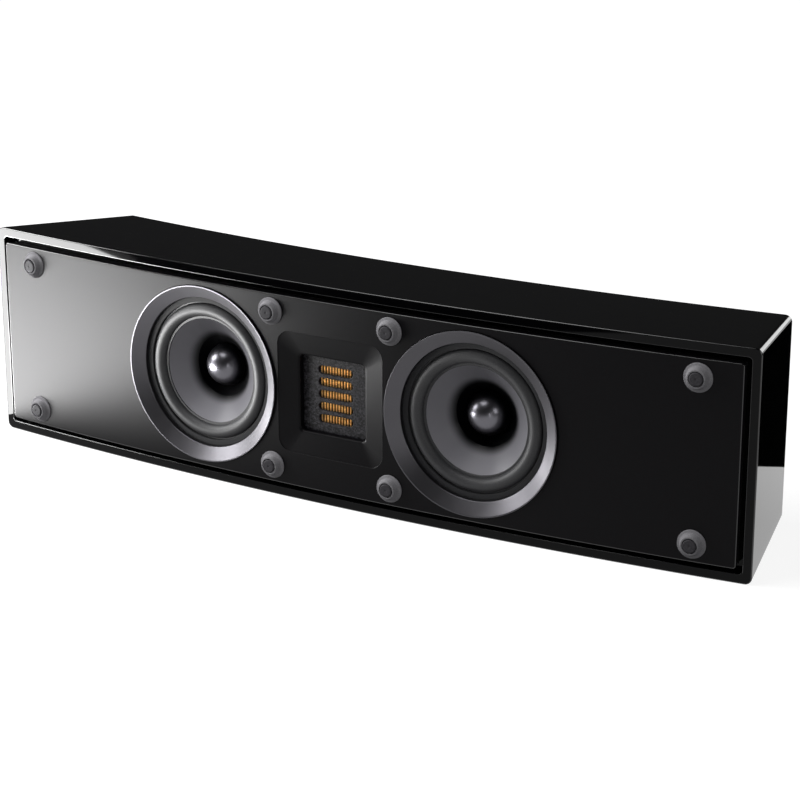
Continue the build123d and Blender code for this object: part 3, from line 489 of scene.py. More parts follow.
def woven_cotton():
    """Cotton cloth dipped in resin and pressed: a plain weave with threads 0.7 mm apart."""
    material = blank_material("resin_dipped_cotton")
    where = add(material, "ShaderNodeTexCoord", {}).outputs["Object"]
    warp = add(material, "ShaderNodeTexWave", {"Vector": where, "Scale": bands_per_metre(0.7)}, bands_direction="X")
    weft = add(material, "ShaderNodeTexWave", {"Vector": where, "Scale": bands_per_metre(0.7)}, bands_direction="Z")
    weave = add(material, "ShaderNodeMath", {0: warp.outputs["Fac"], 1: weft.outputs["Fac"]}, operation="MAXIMUM")
    tone = add(material, "ShaderNodeValToRGB", {"Fac": weave.outputs["Value"]})
    tone.color_ramp.elements[0].color, tone.color_ramp.elements[1].color = linear("#8a6a2c"), linear("#c9a352")
    bump = add(material, "ShaderNodeBump", {"Height": weave.outputs["Value"], "Distance": 0.15 * MM})
    return show(material, {"Base Color": tone.outputs["Color"], "Roughness": 0.8,
                           "Normal": bump.outputs["Normal"]})


finishes |= {"satin_ring": turned_aluminium(), "cone": coated_cone(), "dust_cap": moulded_cap(),
             "grey_steel": sanded_steel(), "film": etched_film(), "copper": wound_wire(), "spider": woven_cotton()}

# %% [markdown]
# ## Finishes for the solids that stay
# The magnets, baskets, braces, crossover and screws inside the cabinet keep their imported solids. Each takes the
# finish of its slot in the record.

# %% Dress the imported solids
for subpart in frame["record"]["subparts"]:
    solid = frame["nodes"][subpart["node"]]
    solid.data.materials.clear()
    solid.data.materials.append(finishes[subpart["material_slot"]])

# %% [markdown]
# ## Cabinet shell
# The cabinet is a lacquered box, open at the front. One closed profile makes all of it: along the rim, over the
# front edge, down the outside, across the back to the terminal recess, through its window, and back up the
# inside to the groove round the baffle. The profile is carried round a rounded rectangle, and each loop is laid
# on the arc it belongs to. A box with a Bevel modifier would be quicker, but its curved faces would not meet.

# %% Loops round the cabinet
CABINET_CORNER = 6.0
CORNER_STEPS = 8
LONG_STEPS, SHORT_STEPS = 96, 20
EDGE_TURN = np.linspace(0, pi / 2, EASE_STEPS + 1)


def wall_half(radius, centre_y, inset):
    """Half the width between the side walls where they cross an arc, found by going back and forth to rest."""
    half = FRONT_WIDTH / 2
    for _ in range(12):
        y = centre_y - sqrt(radius**2 - half**2)
        half = FRONT_WIDTH / 2 - SIDE_LEAN * (y - SIDE_FRONT_Y) - inset * hypot(1, SIDE_LEAN)
    return half


def wall_loop(radius, centre_y, inset, corner, along, up):
    """A rounded rectangle moved in from the walls and laid on an arc; its top follows the falling ceiling."""
    half, middle = wall_half(radius, centre_y, inset), FRONT_HEIGHT / 2
    x, w = rounded_loop(half, middle - inset, corner, along, up, CORNER_STEPS).T
    y = centre_y - np.sqrt(radius**2 - x**2)
    ceiling = FRONT_HEIGHT + TOP_FALL * (np.hypot(x, ARC_Y - y) - FRONT_RADIUS) - inset
    share = (w + middle - inset) / (2 * (middle - inset))
    return np.stack([x, y, inset + share * (ceiling - inset)], axis=1)


shell_along = np.linspace(-1, 1, LONG_STEPS + 1)
shell_up = np.linspace(-1, 1, SHORT_STEPS + 1)


def front_loop(inset, depth, corner):
    return wall_loop(FRONT_RADIUS - depth, ARC_Y, inset, corner, shell_along, shell_up)


def back_loop(inset, depth, corner):
    return wall_loop(BACK_RADIUS + depth, BACK_ARC_Y, inset, corner, shell_along, shell_up)


print("front half width", round(wall_half(FRONT_RADIUS, ARC_Y, 0), 2), "mm")

# %% The shell's profile, loop by loop
RIM_WIDTH, RIM_EDGE, GROOVE_EDGE, BACK_EDGE = 8.0, 1.15, 0.7, 2.0
GROOVE_DEPTH, GROOVE_CORNER, INNER_CORNER = 9.0, 3.0, 0.5
PLATE_WIDTH, PLATE_HEIGHT, PLATE_THICKNESS, PLATE_CORNER = 84.0, 54.0, 3.0, 6.0
WINDOW_WIDTH, WINDOW_HEIGHT = 56.0, 26.0
PLATE_Y, PLATE_Z = BACK_Y - PLATE_THICKNESS, BACK_HEIGHT / 2
BACK_FACE_STEPS = 16


def back_spread(outer, inner, depth):
    """Loops from one outline to another over the back's arc, or over an arc a depth inside it."""
    share = np.linspace(0, 1, BACK_FACE_STEPS + 1)[:, None]
    x = (1 - share) * outer[:, 0] + share * inner[:, 0]
    z = (1 - share) * outer[:, 2] + share * inner[:, 2]
    return np.stack([x, BACK_ARC_Y - np.sqrt((BACK_RADIUS + depth) ** 2 - x**2), z], axis=2)


def plate_loop(width, height, corner):
    x, z = rounded_loop(width / 2, height / 2, corner, shell_along, shell_up, CORNER_STEPS).T
    return np.stack([x, 0 * x + PLATE_Y, z + PLATE_Z], axis=1)


front_edge = [front_loop(RIM_EDGE * (1 - sin(t)), RIM_EDGE * (1 - cos(t)), CABINET_CORNER - RIM_EDGE * (1 - sin(t)))
              for t in EDGE_TURN]
back_edge = [back_loop(BACK_EDGE * (1 - cos(t)), BACK_EDGE * (1 - sin(t)), CABINET_CORNER - BACK_EDGE * (1 - cos(t)))
             for t in EDGE_TURN]
seat = plate_loop(PLATE_WIDTH + 2 * SLIP, PLATE_HEIGHT + 2 * SLIP, PLATE_CORNER + SLIP)
window = plate_loop(WINDOW_WIDTH, WINDOW_HEIGHT, PLATE_CORNER)
inner_back = back_loop(WALL, WALL, INNER_CORNER)
groove_edge = [front_loop(RIM_WIDTH - GROOVE_EDGE * (1 - cos(t)), GROOVE_EDGE * (1 - sin(t)),
                          GROOVE_CORNER + GROOVE_EDGE * (1 - cos(t))) for t in EDGE_TURN]
shell_rows = np.concatenate([
    front_edge, back_edge,
    back_spread(back_edge[-1], seat, 0), [seat, window],
    back_spread(window, inner_back, WALL),
    [front_loop(WALL, GROOVE_DEPTH, INNER_CORNER), front_loop(RIM_WIDTH, GROOVE_DEPTH, GROOVE_CORNER)],
    groove_edge, front_edge[:1],
])
cabinet = make_piece("cabinet", [shell_rows], finishes["lacquer"], "lacquer", "cabinet", "cabinet_shell")


def buff_edge(piece, radius, edge):
    """Marks the rounded edge of an outline: points outside the drivers and behind the face by less than the edge."""
    points = np.empty(len(piece.data.vertices) * 3)
    piece.data.vertices.foreach_get("co", points)
    x, y, z = points.reshape(-1, 3).T / MM
    depth = radius - np.hypot(x, ARC_Y - y)
    outside = (abs(x) > WOOFER_OFFSET + RING_RADIUS + SLIP) | (abs(z - DRIVER_HEIGHT) > RING_RADIUS + SLIP)
    buffed = outside & (depth > MERGE_DISTANCE) & (depth < edge - MERGE_DISTANCE)
    piece.data.attributes.new("edge", "FLOAT", "POINT").data.foreach_set("value", buffed.astype(float))
    print(piece.name, "has", int(buffed.sum()), "points on buffed edges")


buff_edge(cabinet, FRONT_RADIUS, RIM_EDGE)

# %% [markdown]
# ## Front baffle
# The baffle is a satin panel on the same arc, a little proud of the rim. It has two round pockets for the woofers
# and, between them, a square mouth that flares in to the tweeter. A boolean cut leaves ragged shading on a curved
# face, so the face is laid out in five cells instead: each hole has its own cell, whose rows run from the cell's
# border to the hole and on down the hole's wall to the back.

# %% Cells over the baffle
GROOVE_WIDTH, BAFFLE_THICKNESS, BAFFLE_CORNER, BAFFLE_EDGE = 4.8, 22.0, 2.5, 0.9
SEAL_DEPTH = BAFFLE_PROUD + GROOVE_DEPTH - 1.0
CELL_MARGIN = 3.0
GUIDE_WIDTH, GUIDE_HEIGHT, GUIDE_CORNER = 102.0, 105.0, 12.0
FACE_INSET = RIM_WIDTH + GROOVE_WIDTH
PLUG_INSET = WALL + SLIP
cell_half = wall_half(FACE_RADIUS, ARC_Y, FACE_INSET + CELL_MARGIN)
NECK_X = (GUIDE_WIDTH / 2 + WOOFER_OFFSET - RING_RADIUS - SLIP) / 2
END_X = WOOFER_OFFSET + RING_RADIUS + CELL_MARGIN
borders = np.array([-cell_half, -END_X, -NECK_X, NECK_X, END_X, cell_half]) / cell_half
CELL_STEPS = [24, 48, 28, 48, 24]
SIDE_STEPS = 48
cell_along = [np.linspace(borders[i], borders[i + 1], CELL_STEPS[i] + 1) for i in range(5)]
baffle_along = np.concatenate([cell_along[0]] + [cell[1:] for cell in cell_along[1:]])
baffle_up = np.linspace(-1, 1, SIDE_STEPS + 1)


def on_front(x, z, depth):
    """Points on the baffle's arc, or on an arc a depth behind it."""
    return np.stack([x, ARC_Y - np.sqrt((FACE_RADIUS - depth) ** 2 - x**2), z], axis=-1)


def cell_extent(depth, inset):
    """Half width, bottom and top of the area that the cells share, on an arc a depth behind the face."""
    top = FRONT_HEIGHT + TOP_FALL * (BAFFLE_PROUD - depth) - inset
    return wall_half(FACE_RADIUS - depth, ARC_Y, inset), inset, top


def cell_loop(cell, depth, inset):
    """Closed loop of x and z round one cell: along its bottom, up, back along its top, and down."""
    half, low, high = cell_extent(depth, inset)
    x, z = cell_along[cell] * half, (low + high) / 2 + baffle_up * (high - low) / 2
    sides = [(x, 0 * x + low), (0 * z + x[-1], z), (x[::-1], 0 * x + high), (0 * z + x[0], z[::-1])]
    return np.concatenate([np.stack(side, axis=1)[:-1] for side in sides] + [[(x[0], low)]])


def spread(outer, inner, depth, steps):
    """Rows between two loops of x and z, on an arc a depth behind the face."""
    share = np.linspace(0, 1, steps + 1)[:, None, None]
    rows = (1 - share) * outer + share * inner
    return on_front(rows[:, :, 0], rows[:, :, 1], depth)


FRONT_AREA, BACK_AREA = (0.0, FACE_INSET + CELL_MARGIN), (BAFFLE_THICKNESS, PLUG_INSET + CELL_MARGIN)
print("cell borders at", np.round(borders * cell_half, 1).tolist(), "mm")

# %% Woofer pockets
RING_SEAT_DEPTH, FLANGE_RADIUS, POCKET_DEPTH, CUTOUT_RADIUS = 8.5, 74.5, 15.0, 62.2
POCKET_EDGE = 0.35
SPREAD_STEPS = 5


def pocket_patch(cell, place):
    """Face of a woofer's cell, the stepped pocket's wall, and the back of the cell, as one grid."""
    front, back = cell_loop(cell, *FRONT_AREA), cell_loop(cell, *BACK_AREA)
    angle = np.arctan2(front[:, 1] - place[0][2], front[:, 0] - place[0][0])

    def hoop(radius, depth):
        local = np.stack([radius * np.cos(angle), radius * np.sin(angle), 0 * angle - depth], axis=1)
        return placed(local, place)

    mouth = RING_RADIUS + SLIP
    rim = hoop(mouth + POCKET_EDGE, 0)[:, [0, 2]]
    steps = [(mouth, POCKET_EDGE + 0.9), (mouth, RING_SEAT_DEPTH), (FLANGE_RADIUS + SLIP, RING_SEAT_DEPTH),
             (FLANGE_RADIUS + SLIP, POCKET_DEPTH), (CUTOUT_RADIUS, POCKET_DEPTH)]
    hole = hoop(CUTOUT_RADIUS, BAFFLE_THICKNESS)[:, [0, 2]]
    return np.concatenate([
        spread(front, rim, 0.0, SPREAD_STEPS), [hoop(radius, depth) for radius, depth in steps],
        spread(hole, back, BAFFLE_THICKNESS, SPREAD_STEPS),
    ])


pockets = [pocket_patch(1, woofer_places["left"]), pocket_patch(3, woofer_places["right"])]
print("pocket grids", [pocket.shape[:2] for pocket in pockets])

# %% [markdown]
# The tweeter's mouth is a shallow waveguide: a fine step at the face, a flat flare, and a rounded lip where the
# flare turns into the straight throat. The lip is the bright line inside the mouth, so it gets several rows.

# %% Waveguide
THROAT_WIDTH, THROAT_HEIGHT, THROAT_CORNER = 63.5, 66.0, 4.0
GUIDE_STEP, GUIDE_DEPTH, FACE_DEPTH, LAND_DEPTH = 0.8, 4.5, 10.0, 21.5
BAY_WIDTH, BAY_HEIGHT, LAND_WIDTH, LAND_HEIGHT = 76.4, 80.4, 96.4, 100.4
LIP_REACH, GUIDE_EDGE = 2.2, 0.3
HALF_ARC = 6


def hole_loop(half_width, half_height, corner, steps, side_steps):
    """Closed rounded rectangle that starts at the middle of a corner, so that each side matches a cell's side."""
    def side(length, reach, count):
        straight = np.linspace(corner - length, length - corner, count - 2 * HALF_ARC + 1)
        turn = np.linspace(0, pi / 4, HALF_ARC + 1)[:-1]
        left = (corner - length - corner * np.sin(turn[::-1] + pi / 4 / HALF_ARC),
                corner - reach - corner * np.cos(turn[::-1] + pi / 4 / HALF_ARC))
        right = (-left[0][::-1], left[1][::-1])
        x = np.concatenate([left[0], straight, right[0]])
        z = np.concatenate([left[1], 0 * straight - reach, right[1]])
        return x, z

    x, z = side(half_width, half_height, steps)
    u, w = side(half_height, half_width, side_steps)
    sides = [(x, z), (-w, u), (-x, -z), (w, -u)]
    loop = np.concatenate([np.stack(edge, axis=1)[:-1] for edge in sides])
    return np.concatenate([loop, loop[:1]])


def guide_loop(width, height, corner):
    x, z = hole_loop(width / 2, height / 2, corner, CELL_STEPS[2], SIDE_STEPS).T
    return np.stack([x, z + DRIVER_HEIGHT], axis=1)


def guide_row(width, height, corner, depth):
    """A loop of the waveguide on a flat plane, a depth behind the middle of the face."""
    loop = guide_loop(width, height, corner)
    return np.stack([loop[:, 0], 0 * loop[:, 0] + tweeter_place[0][1] + depth, loop[:, 1]], axis=1)


def flare_row(share, depth):
    """A loop part of the way from the mouth's size to the throat's."""
    sizes = [(GUIDE_WIDTH, THROAT_WIDTH), (GUIDE_HEIGHT, THROAT_HEIGHT), (GUIDE_CORNER, THROAT_CORNER)]
    return guide_row(*[(1 - share) * mouth + share * throat for mouth, throat in sizes], depth)


lip_share = 1 - 2 * LIP_REACH / (GUIDE_WIDTH - THROAT_WIDTH)
flare_depth = GUIDE_STEP + lip_share * (GUIDE_DEPTH - GUIDE_STEP)
lip = np.linspace(0, 1, EASE_STEPS + 3)
lip_shares = lip_share + (1 - lip_share) * (2 * lip - lip**2)
lip_depths = (1 - lip) ** 2 * flare_depth + 2 * lip * (1 - lip) * GUIDE_DEPTH + lip**2 * (GUIDE_DEPTH + LIP_REACH)
edge_loop = guide_loop(GUIDE_WIDTH + 2 * GUIDE_EDGE, GUIDE_HEIGHT + 2 * GUIDE_EDGE, GUIDE_CORNER + GUIDE_EDGE)
step_loop = guide_loop(GUIDE_WIDTH, GUIDE_HEIGHT, GUIDE_CORNER)
land = guide_loop(LAND_WIDTH, LAND_HEIGHT, THROAT_CORNER)
waveguide = np.concatenate([
    spread(cell_loop(2, *FRONT_AREA), edge_loop, 0.0, SPREAD_STEPS),
    [on_front(step_loop[:, 0], step_loop[:, 1], GUIDE_EDGE)],
    [flare_row(0.0, GUIDE_STEP), flare_row(0.03, GUIDE_STEP + 0.03 * (GUIDE_DEPTH - GUIDE_STEP))],
    [flare_row(share, depth) for share, depth in zip(lip_shares, lip_depths)],
    [guide_row(THROAT_WIDTH, THROAT_HEIGHT, THROAT_CORNER, FACE_DEPTH)],
    [guide_row(BAY_WIDTH, BAY_HEIGHT, THROAT_CORNER, depth) for depth in (FACE_DEPTH, LAND_DEPTH)],
    [guide_row(LAND_WIDTH, LAND_HEIGHT, THROAT_CORNER, LAND_DEPTH)],
    spread(land, cell_loop(2, *BACK_AREA), BAFFLE_THICKNESS, SPREAD_STEPS),
])
print("waveguide lip from", round(float(flare_depth), 2), "to", round(float(lip_depths[-1]), 2), "mm deep")

# %% [markdown]
# The two ends are plain. A strip carried round the outline closes the panel: it rolls over the front edge, which
# is the thin bright line in the picture, goes down the side of the groove and steps in to the plug that fills the
# cabinet's opening.

# %% Ends and edge of the baffle
def end_patches(cell):
    """Front and back of a plain end cell."""
    patches = []
    for depth, inset in (FRONT_AREA, BACK_AREA):
        half, low, high = cell_extent(depth, inset)
        z, x = np.meshgrid((low + high) / 2 + baffle_up * (high - low) / 2, cell_along[cell] * half, indexing="ij")
        patches.append(on_front(x, z, depth))
    return patches


def baffle_loop(inset, depth, corner):
    return wall_loop(FACE_RADIUS - depth, ARC_Y, inset, corner, baffle_along, baffle_up)


edge_rows = [(FACE_INSET + CELL_MARGIN, 0.0, 0.0)]
edge_rows += [(FACE_INSET + BAFFLE_EDGE * (1 - sin(t)), BAFFLE_EDGE * (1 - cos(t)),
               BAFFLE_CORNER - BAFFLE_EDGE * (1 - sin(t))) for t in EDGE_TURN]
edge_rows += [(FACE_INSET, SEAL_DEPTH, BAFFLE_CORNER), (PLUG_INSET, SEAL_DEPTH, 0.0),
              (PLUG_INSET, BAFFLE_THICKNESS, 0.0), (PLUG_INSET + CELL_MARGIN, BAFFLE_THICKNESS, 0.0)]
baffle_edge = np.stack([baffle_loop(*row) for row in edge_rows])
baffle = make_piece("baffle", [*end_patches(0), *pockets, waveguide, *end_patches(4), baffle_edge],
                    finishes["baffle_paint"], "baffle_paint", "cabinet", "front_baffle")
buff_edge(baffle, FACE_RADIUS, BAFFLE_EDGE)

# %% [markdown]
# ## Woofers: rings and gaskets
# Each woofer sits behind a turned trim ring whose face slopes in like a shallow funnel. A foam gasket holds the
# edge of the rubber surround. All are profiles carried round the driver's axis: heights are out of the baffle's
# face, so what lies behind it is negative.

# %% Trim rings and gaskets
RING_WIDTH, RING_PROUD, RING_LIP_DEPTH = 11.8, 1.2, 5.6
RING_BORE = RING_RADIUS - RING_WIDTH
ROLL_SEAT = 13.0
SURROUND_THICKNESS, GASKET_WIDTH, GASKET_THICKNESS = 1.0, 4.8, 2.8

ring_profile = eased(
    [(RING_BORE, -RING_SEAT_DEPTH), (RING_RADIUS, -RING_SEAT_DEPTH), (RING_RADIUS, RING_PROUD),
     (RING_RADIUS - 1.0, RING_PROUD), (RING_BORE, -RING_LIP_DEPTH)], [0.3, 0.3, 0.2, 0.3, 0.8])
gasket_low = SURROUND_THICKNESS - ROLL_SEAT
gasket_outer = RING_BORE - SLIP
gasket_profile = eased(
    [(gasket_outer, gasket_low), (gasket_outer, gasket_low + GASKET_THICKNESS),
     (gasket_outer - GASKET_WIDTH, gasket_low + GASKET_THICKNESS), (gasket_outer - GASKET_WIDTH, gasket_low)],
    [0.2, 0.5, 0.9, 0.2])
for side, place in woofer_places.items():
    make_piece(f"{side}_ring", [turned(ring_profile, place)], finishes["satin_ring"], "satin_ring", "cabinet",
               f"{side}_trim_ring")
    make_piece(f"{side}_gasket_foam", [turned(gasket_profile, place)], finishes["foam"], "foam", "cabinet",
               f"{side}_gasket")

# %% [markdown]
# ## Woofers: surround and spider
# The surround is a half roll of rubber and the spider a corrugated cloth disc. Both are held at one edge by the
# basket and carried at the other by the cone, so when the cone moves they bend in between.

# %% Parts that bend with the cone
LAND_RADIUS, ROLL_RADIUS, CONE_LIP = 59.0, 5.0, 3.0
CONE_RADIUS = LAND_RADIUS - 2 * ROLL_RADIUS
SPIDER_DEPTH, SPIDER_RADIUS, SPIDER_LIP, SPIDER_WAVE, SPIDER_WAVES = 53.0, 42.0, 5.0, 1.4, 3
SPIDER_THICKNESS, COLLAR_RADIUS = 0.7, 13.3


def bend_with_cone(piece):
    """Bakes the piece's placement into its mesh and reads its points; nothing is moved with the cone."""
    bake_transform(piece)
    points = np.empty(len(piece.data.vertices) * 3)
    piece.data.vertices.foreach_get("co", points)


def roll_arc(half_chord, rise, foot, centre, steps=24):
    """Arc over a chord: the circle through both feet and the crown, from the outer foot to the inner one."""
    radius = (half_chord**2 + rise**2) / (2 * rise)
    reach = asin(half_chord / radius)
    turn = np.linspace(reach, -reach, steps + 1)
    return np.stack([centre + radius * np.sin(turn), foot + rise - radius + radius * np.cos(turn)], axis=1)


low, high = -ROLL_SEAT, SURROUND_THICKNESS - ROLL_SEAT
roll_centre, outer_edge, inner_edge = LAND_RADIUS - ROLL_RADIUS, RING_BORE - SLIP, CONE_RADIUS - CONE_LIP
surround_profile = np.concatenate([
    [(outer_edge, low), (outer_edge, high)],
    roll_arc(ROLL_RADIUS + SURROUND_THICKNESS, ROLL_RADIUS, high, roll_centre),
    [(inner_edge + 0.3, high), (inner_edge, high - 0.3), (inner_edge, low)],
    roll_arc(ROLL_RADIUS, ROLL_RADIUS, low, roll_centre)[::-1],
    [(outer_edge, low)],
])
wave_turn = np.linspace(0, 2 * pi * SPIDER_WAVES, 16 * SPIDER_WAVES + 1)
wave_radius = np.linspace(SPIDER_RADIUS - SPIDER_LIP, COLLAR_RADIUS + SPIDER_LIP, len(wave_turn))
wave = np.stack([wave_radius, SPIDER_WAVE * np.sin(wave_turn) - SPIDER_DEPTH], axis=1)
spider_line = np.concatenate([[(SPIDER_RADIUS, -SPIDER_DEPTH)], wave, [(COLLAR_RADIUS, -SPIDER_DEPTH)]])
spider_profile = np.concatenate([spider_line, spider_line[::-1] + (0, SPIDER_THICKNESS), spider_line[:1]])
for side, place in woofer_places.items():
    surround = make_piece(f"{side}_rubber_surround", [turned(surround_profile, place)], finishes["surround"],
                          "surround", None, f"{side}_surround")
    bend_with_cone(surround)
    spider = make_piece(f"{side}_cloth_spider", [turned(spider_profile, place)], finishes["spider"], "spider",
                        None, f"{side}_spider")
    bend_with_cone(spider)

# %% [markdown]
# ## Woofers: cone and dust cap
# The cone is pressed as one thin shell, shallow at its lip and steeper at the neck. The dust cap glued in it is a gloss
# ball with a ring round its foot that is painted matt black as shade. Both are thin, so each profile runs down the face
# and back along the underside.

# %% Cones and dust caps
CONE_THICKNESS, CONE_DROOP_DEPTH, CONE_NECK_DEPTH = 0.8, 30.0, 43.0
CAP_RADIUS, CAP_THICKNESS, CAP_LIP = 27.0, 0.7, 0.4
BALL_DEPTH, SKIRT_DEPTH = 37.0, 37.5


def arc_through(start, middle, end, steps):
    """Arc through three points of a profile: its centre is where the two chords' bisectors cross."""
    start, middle, end = (np.array(point, float) for point in (start, middle, end))
    chords = np.stack([middle - start, end - middle])
    halves = [(middle + start) / 2, (end + middle) / 2]
    centre = np.linalg.solve(chords, [chords[0] @ halves[0], chords[1] @ halves[1]])
    turns = np.unwrap([np.arctan2(*(point - centre)[::-1]) for point in (start, middle, end)])
    turn = np.linspace(turns[0], turns[2], steps + 1)
    radius = np.linalg.norm(start - centre)
    return centre + radius * np.stack([np.cos(turn), np.sin(turn)], axis=1)


cone_face = arc_through((CONE_RADIUS - CONE_LIP, -ROLL_SEAT), (CAP_RADIUS, -CONE_DROOP_DEPTH),
                        (COLLAR_RADIUS, -CONE_NECK_DEPTH), 40)
cone_under = arc_through((CONE_RADIUS - CONE_LIP, -ROLL_SEAT - CONE_THICKNESS),
                         (CAP_RADIUS, -CONE_DROOP_DEPTH - sqrt(2) * CONE_THICKNESS),
                         (COLLAR_RADIUS, -CONE_NECK_DEPTH - 2 * CONE_THICKNESS), 40)
cone_profile = np.concatenate([
    [(CONE_RADIUS, -ROLL_SEAT - CONE_THICKNESS), (CONE_RADIUS, -ROLL_SEAT)], cone_face, cone_under[::-1],
    [(CONE_RADIUS, -ROLL_SEAT - CONE_THICKNESS)],
])
cap_rim = SLIP - CONE_DROOP_DEPTH
inner_ball = BALL_RADIUS - CAP_THICKNESS
quarter = np.linspace(0, pi / 2, 25)


def half_ball(radius, turn):
    """Front half of a ball on the driver's axis: by the turn from its tip, sine goes out and cosine goes up."""
    return np.stack([radius * np.sin(turn), radius * np.cos(turn) - BALL_DEPTH], axis=1)


cap_profile = np.concatenate([
    half_ball(BALL_RADIUS, quarter),
    [(BALL_RADIUS, -SKIRT_DEPTH), (CAP_RADIUS, cap_rim), (CAP_RADIUS - CAP_LIP, cap_rim - CAP_LIP),
     (inner_ball, -SKIRT_DEPTH - CAP_LIP)],
    half_ball(inner_ball, quarter[::-1]),
])
for side, place in woofer_places.items():
    make_piece(f"{side}_pressed_cone", [turned(cone_profile, place)], finishes["cone"], "cone",
               f"{side}_cone_set", f"{side}_cone")
    make_piece(f"{side}_gloss_cap", [turned(cap_profile, place)], finishes["dust_cap"], "dust_cap",
               f"{side}_cone_set", f"{side}_dust_cap")

# %% [markdown]
# ## Tweeter: slotted plate
# A steel plate with five round-ended slots covers the pleated film. As on the baffle, each slot has its own cell,
# and its rows run over the slot's rounded edge and through the plate. The corners of the plate are rounded to fit
# its bay.

# %% Slotted face plate
MODULE_WIDTH, MODULE_HEIGHT, PLATE_DEPTH = 76.0, 80.0, 2.0
SLOT_COUNT, SLOT_LENGTH, SLOT_HEIGHT, SLOT_PITCH, SLOT_EDGE = 5, 33.5, 7.0, 10.6, 0.6
SLOT_STEPS, SLOT_SIDE_STEPS, STRIP_STEPS = 40, 14, 10
plate_across = np.linspace(-MODULE_WIDTH / 2, MODULE_WIDTH / 2, SLOT_STEPS + 1)
FRONT_OUT, BACK_OUT = -FACE_DEPTH, -FACE_DEPTH - PLATE_DEPTH


def flat_rows(loops, outs):
    """Loops of across and up, each at its own distance out."""
    loops = np.broadcast_to(loops, (len(outs), *np.shape(loops)[-2:]))
    outs = np.broadcast_to(np.array(outs)[:, None, None], (*loops.shape[:2], 1))
    return np.concatenate([loops, outs], axis=2)


def slot_patch(row):
    """One slot's cell: face, rounded edge, wall and back."""
    low, high = row - SLOT_PITCH / 2, row + SLOT_PITCH / 2
    up = np.linspace(low, high, SLOT_SIDE_STEPS + 1)
    sides = [(plate_across, 0 * plate_across + low), (0 * up + plate_across[-1], up),
             (plate_across[::-1], 0 * plate_across + high), (0 * up + plate_across[0], up[::-1])]
    border = np.concatenate([np.stack(side, axis=1)[:-1] for side in sides] + [[(plate_across[0], low)]])

    def slot(grow):
        half_length, half_height = SLOT_LENGTH / 2 + grow, SLOT_HEIGHT / 2 + grow
        return hole_loop(half_length, half_height, half_height, SLOT_STEPS, SLOT_SIDE_STEPS) + (0, row)

    share = np.linspace(0, 1, 4)[:, None, None]
    face = (1 - share) * border + share * slot(SLOT_EDGE)
    edge = [slot(SLOT_EDGE * (1 - sin(t))) for t in EDGE_TURN]
    edge_outs = [FRONT_OUT - SLOT_EDGE * (1 - cos(t)) for t in EDGE_TURN]
    back = (1 - share) * slot(0) + share * border
    return np.concatenate([flat_rows(face, [FRONT_OUT] * 4), flat_rows(edge, edge_outs),
                           flat_rows(back, [BACK_OUT] * 4)])


def strip_patch(sign, out):
    """Plain strip above or below the slots; its width narrows round the plate's corners."""
    up = np.linspace(SLOT_COUNT * SLOT_PITCH / 2, MODULE_HEIGHT / 2, STRIP_STEPS + 1)
    into = np.clip(up - MODULE_HEIGHT / 2 + THROAT_CORNER, 0, THROAT_CORNER)
    narrow = (MODULE_WIDTH / 2 - THROAT_CORNER + np.sqrt(THROAT_CORNER**2 - into**2)) / (MODULE_WIDTH / 2)
    across = plate_across * narrow[:, None]
    return np.stack([across, 0 * across + sign * up[:, None], 0 * across + out], axis=2)


rows = (np.arange(SLOT_COUNT) - (SLOT_COUNT - 1) / 2) * SLOT_PITCH
strips = {sign: [strip_patch(sign, FRONT_OUT), strip_patch(sign, BACK_OUT)] for sign in (-1, 1)}
walls = []
for sign, (front, back) in strips.items():
    walls += [np.stack([front[:, end], back[:, end]]) for end in (0, -1)] + [np.stack([front[-1], back[-1]])]
slot_side = np.linspace(-SLOT_PITCH / 2, SLOT_PITCH / 2, SLOT_SIDE_STEPS + 1)
side_up = np.concatenate([rows[0] + slot_side] + [row + slot_side[1:] for row in rows[1:]])
for edge in (plate_across[0], plate_across[-1]):
    walls.append(np.stack([np.stack([0 * side_up + edge, side_up, 0 * side_up + out], axis=1)
                           for out in (FRONT_OUT, BACK_OUT)]))
plate_patches = [slot_patch(row) for row in rows] + strips[-1] + strips[1] + walls
make_piece("slotted_plate", [placed(patch, tweeter_place) for patch in plate_patches], finishes["grey_steel"],
           "grey_steel", "cabinet", "tweeter_face_plate")

# %% [markdown]
# ## Tweeter: pleated film
# The film is folded like a concertina and squeezes the air out of its folds. Its section is a triangle wave whose
# corners are a little rounded, the arcsine of a flattened sine, drawn straight up the height of the film.

# %% Pleated film
PLEATS, PLEAT_PITCH, FILM_THICKNESS, FILM_HEIGHT = 12, 2.8, 0.35, 57.0
FOLD_SHARPNESS = 0.97
FOLD_STEPS = 12
film_turn = np.linspace(0, 2 * pi * PLEATS, FOLD_STEPS * PLEATS + 1)
film_across = (film_turn / (2 * pi) - PLEATS / 2) * PLEAT_PITCH
fold = np.arcsin(-FOLD_SHARPNESS * np.cos(film_turn)) / asin(FOLD_SHARPNESS)
film_front = FRONT_OUT - PLATE_DEPTH - SLIP + PLEAT_DEPTH * (fold - 1) / 2
film_skin = FILM_THICKNESS * hypot(PLEAT_PITCH / 2, PLEAT_DEPTH) / (PLEAT_PITCH / 2)


def film_row(up, skin):
    return np.stack([film_across, 0 * film_across + up, film_front - skin], axis=1)


half = FILM_HEIGHT / 2
film_rows = np.stack([film_row(-half, 0), film_row(half, 0), film_row(half, film_skin), film_row(-half, film_skin),
                      film_row(-half, 0)])
film_ends = [np.stack([film_rows[:2, end], film_rows[3:1:-1, end]]) for end in (0, -1)]
make_piece("pleated_film", [placed(patch, tweeter_place) for patch in (film_rows, *film_ends)], finishes["film"],
           "film", "cabinet", "tweeter_pleated_film")

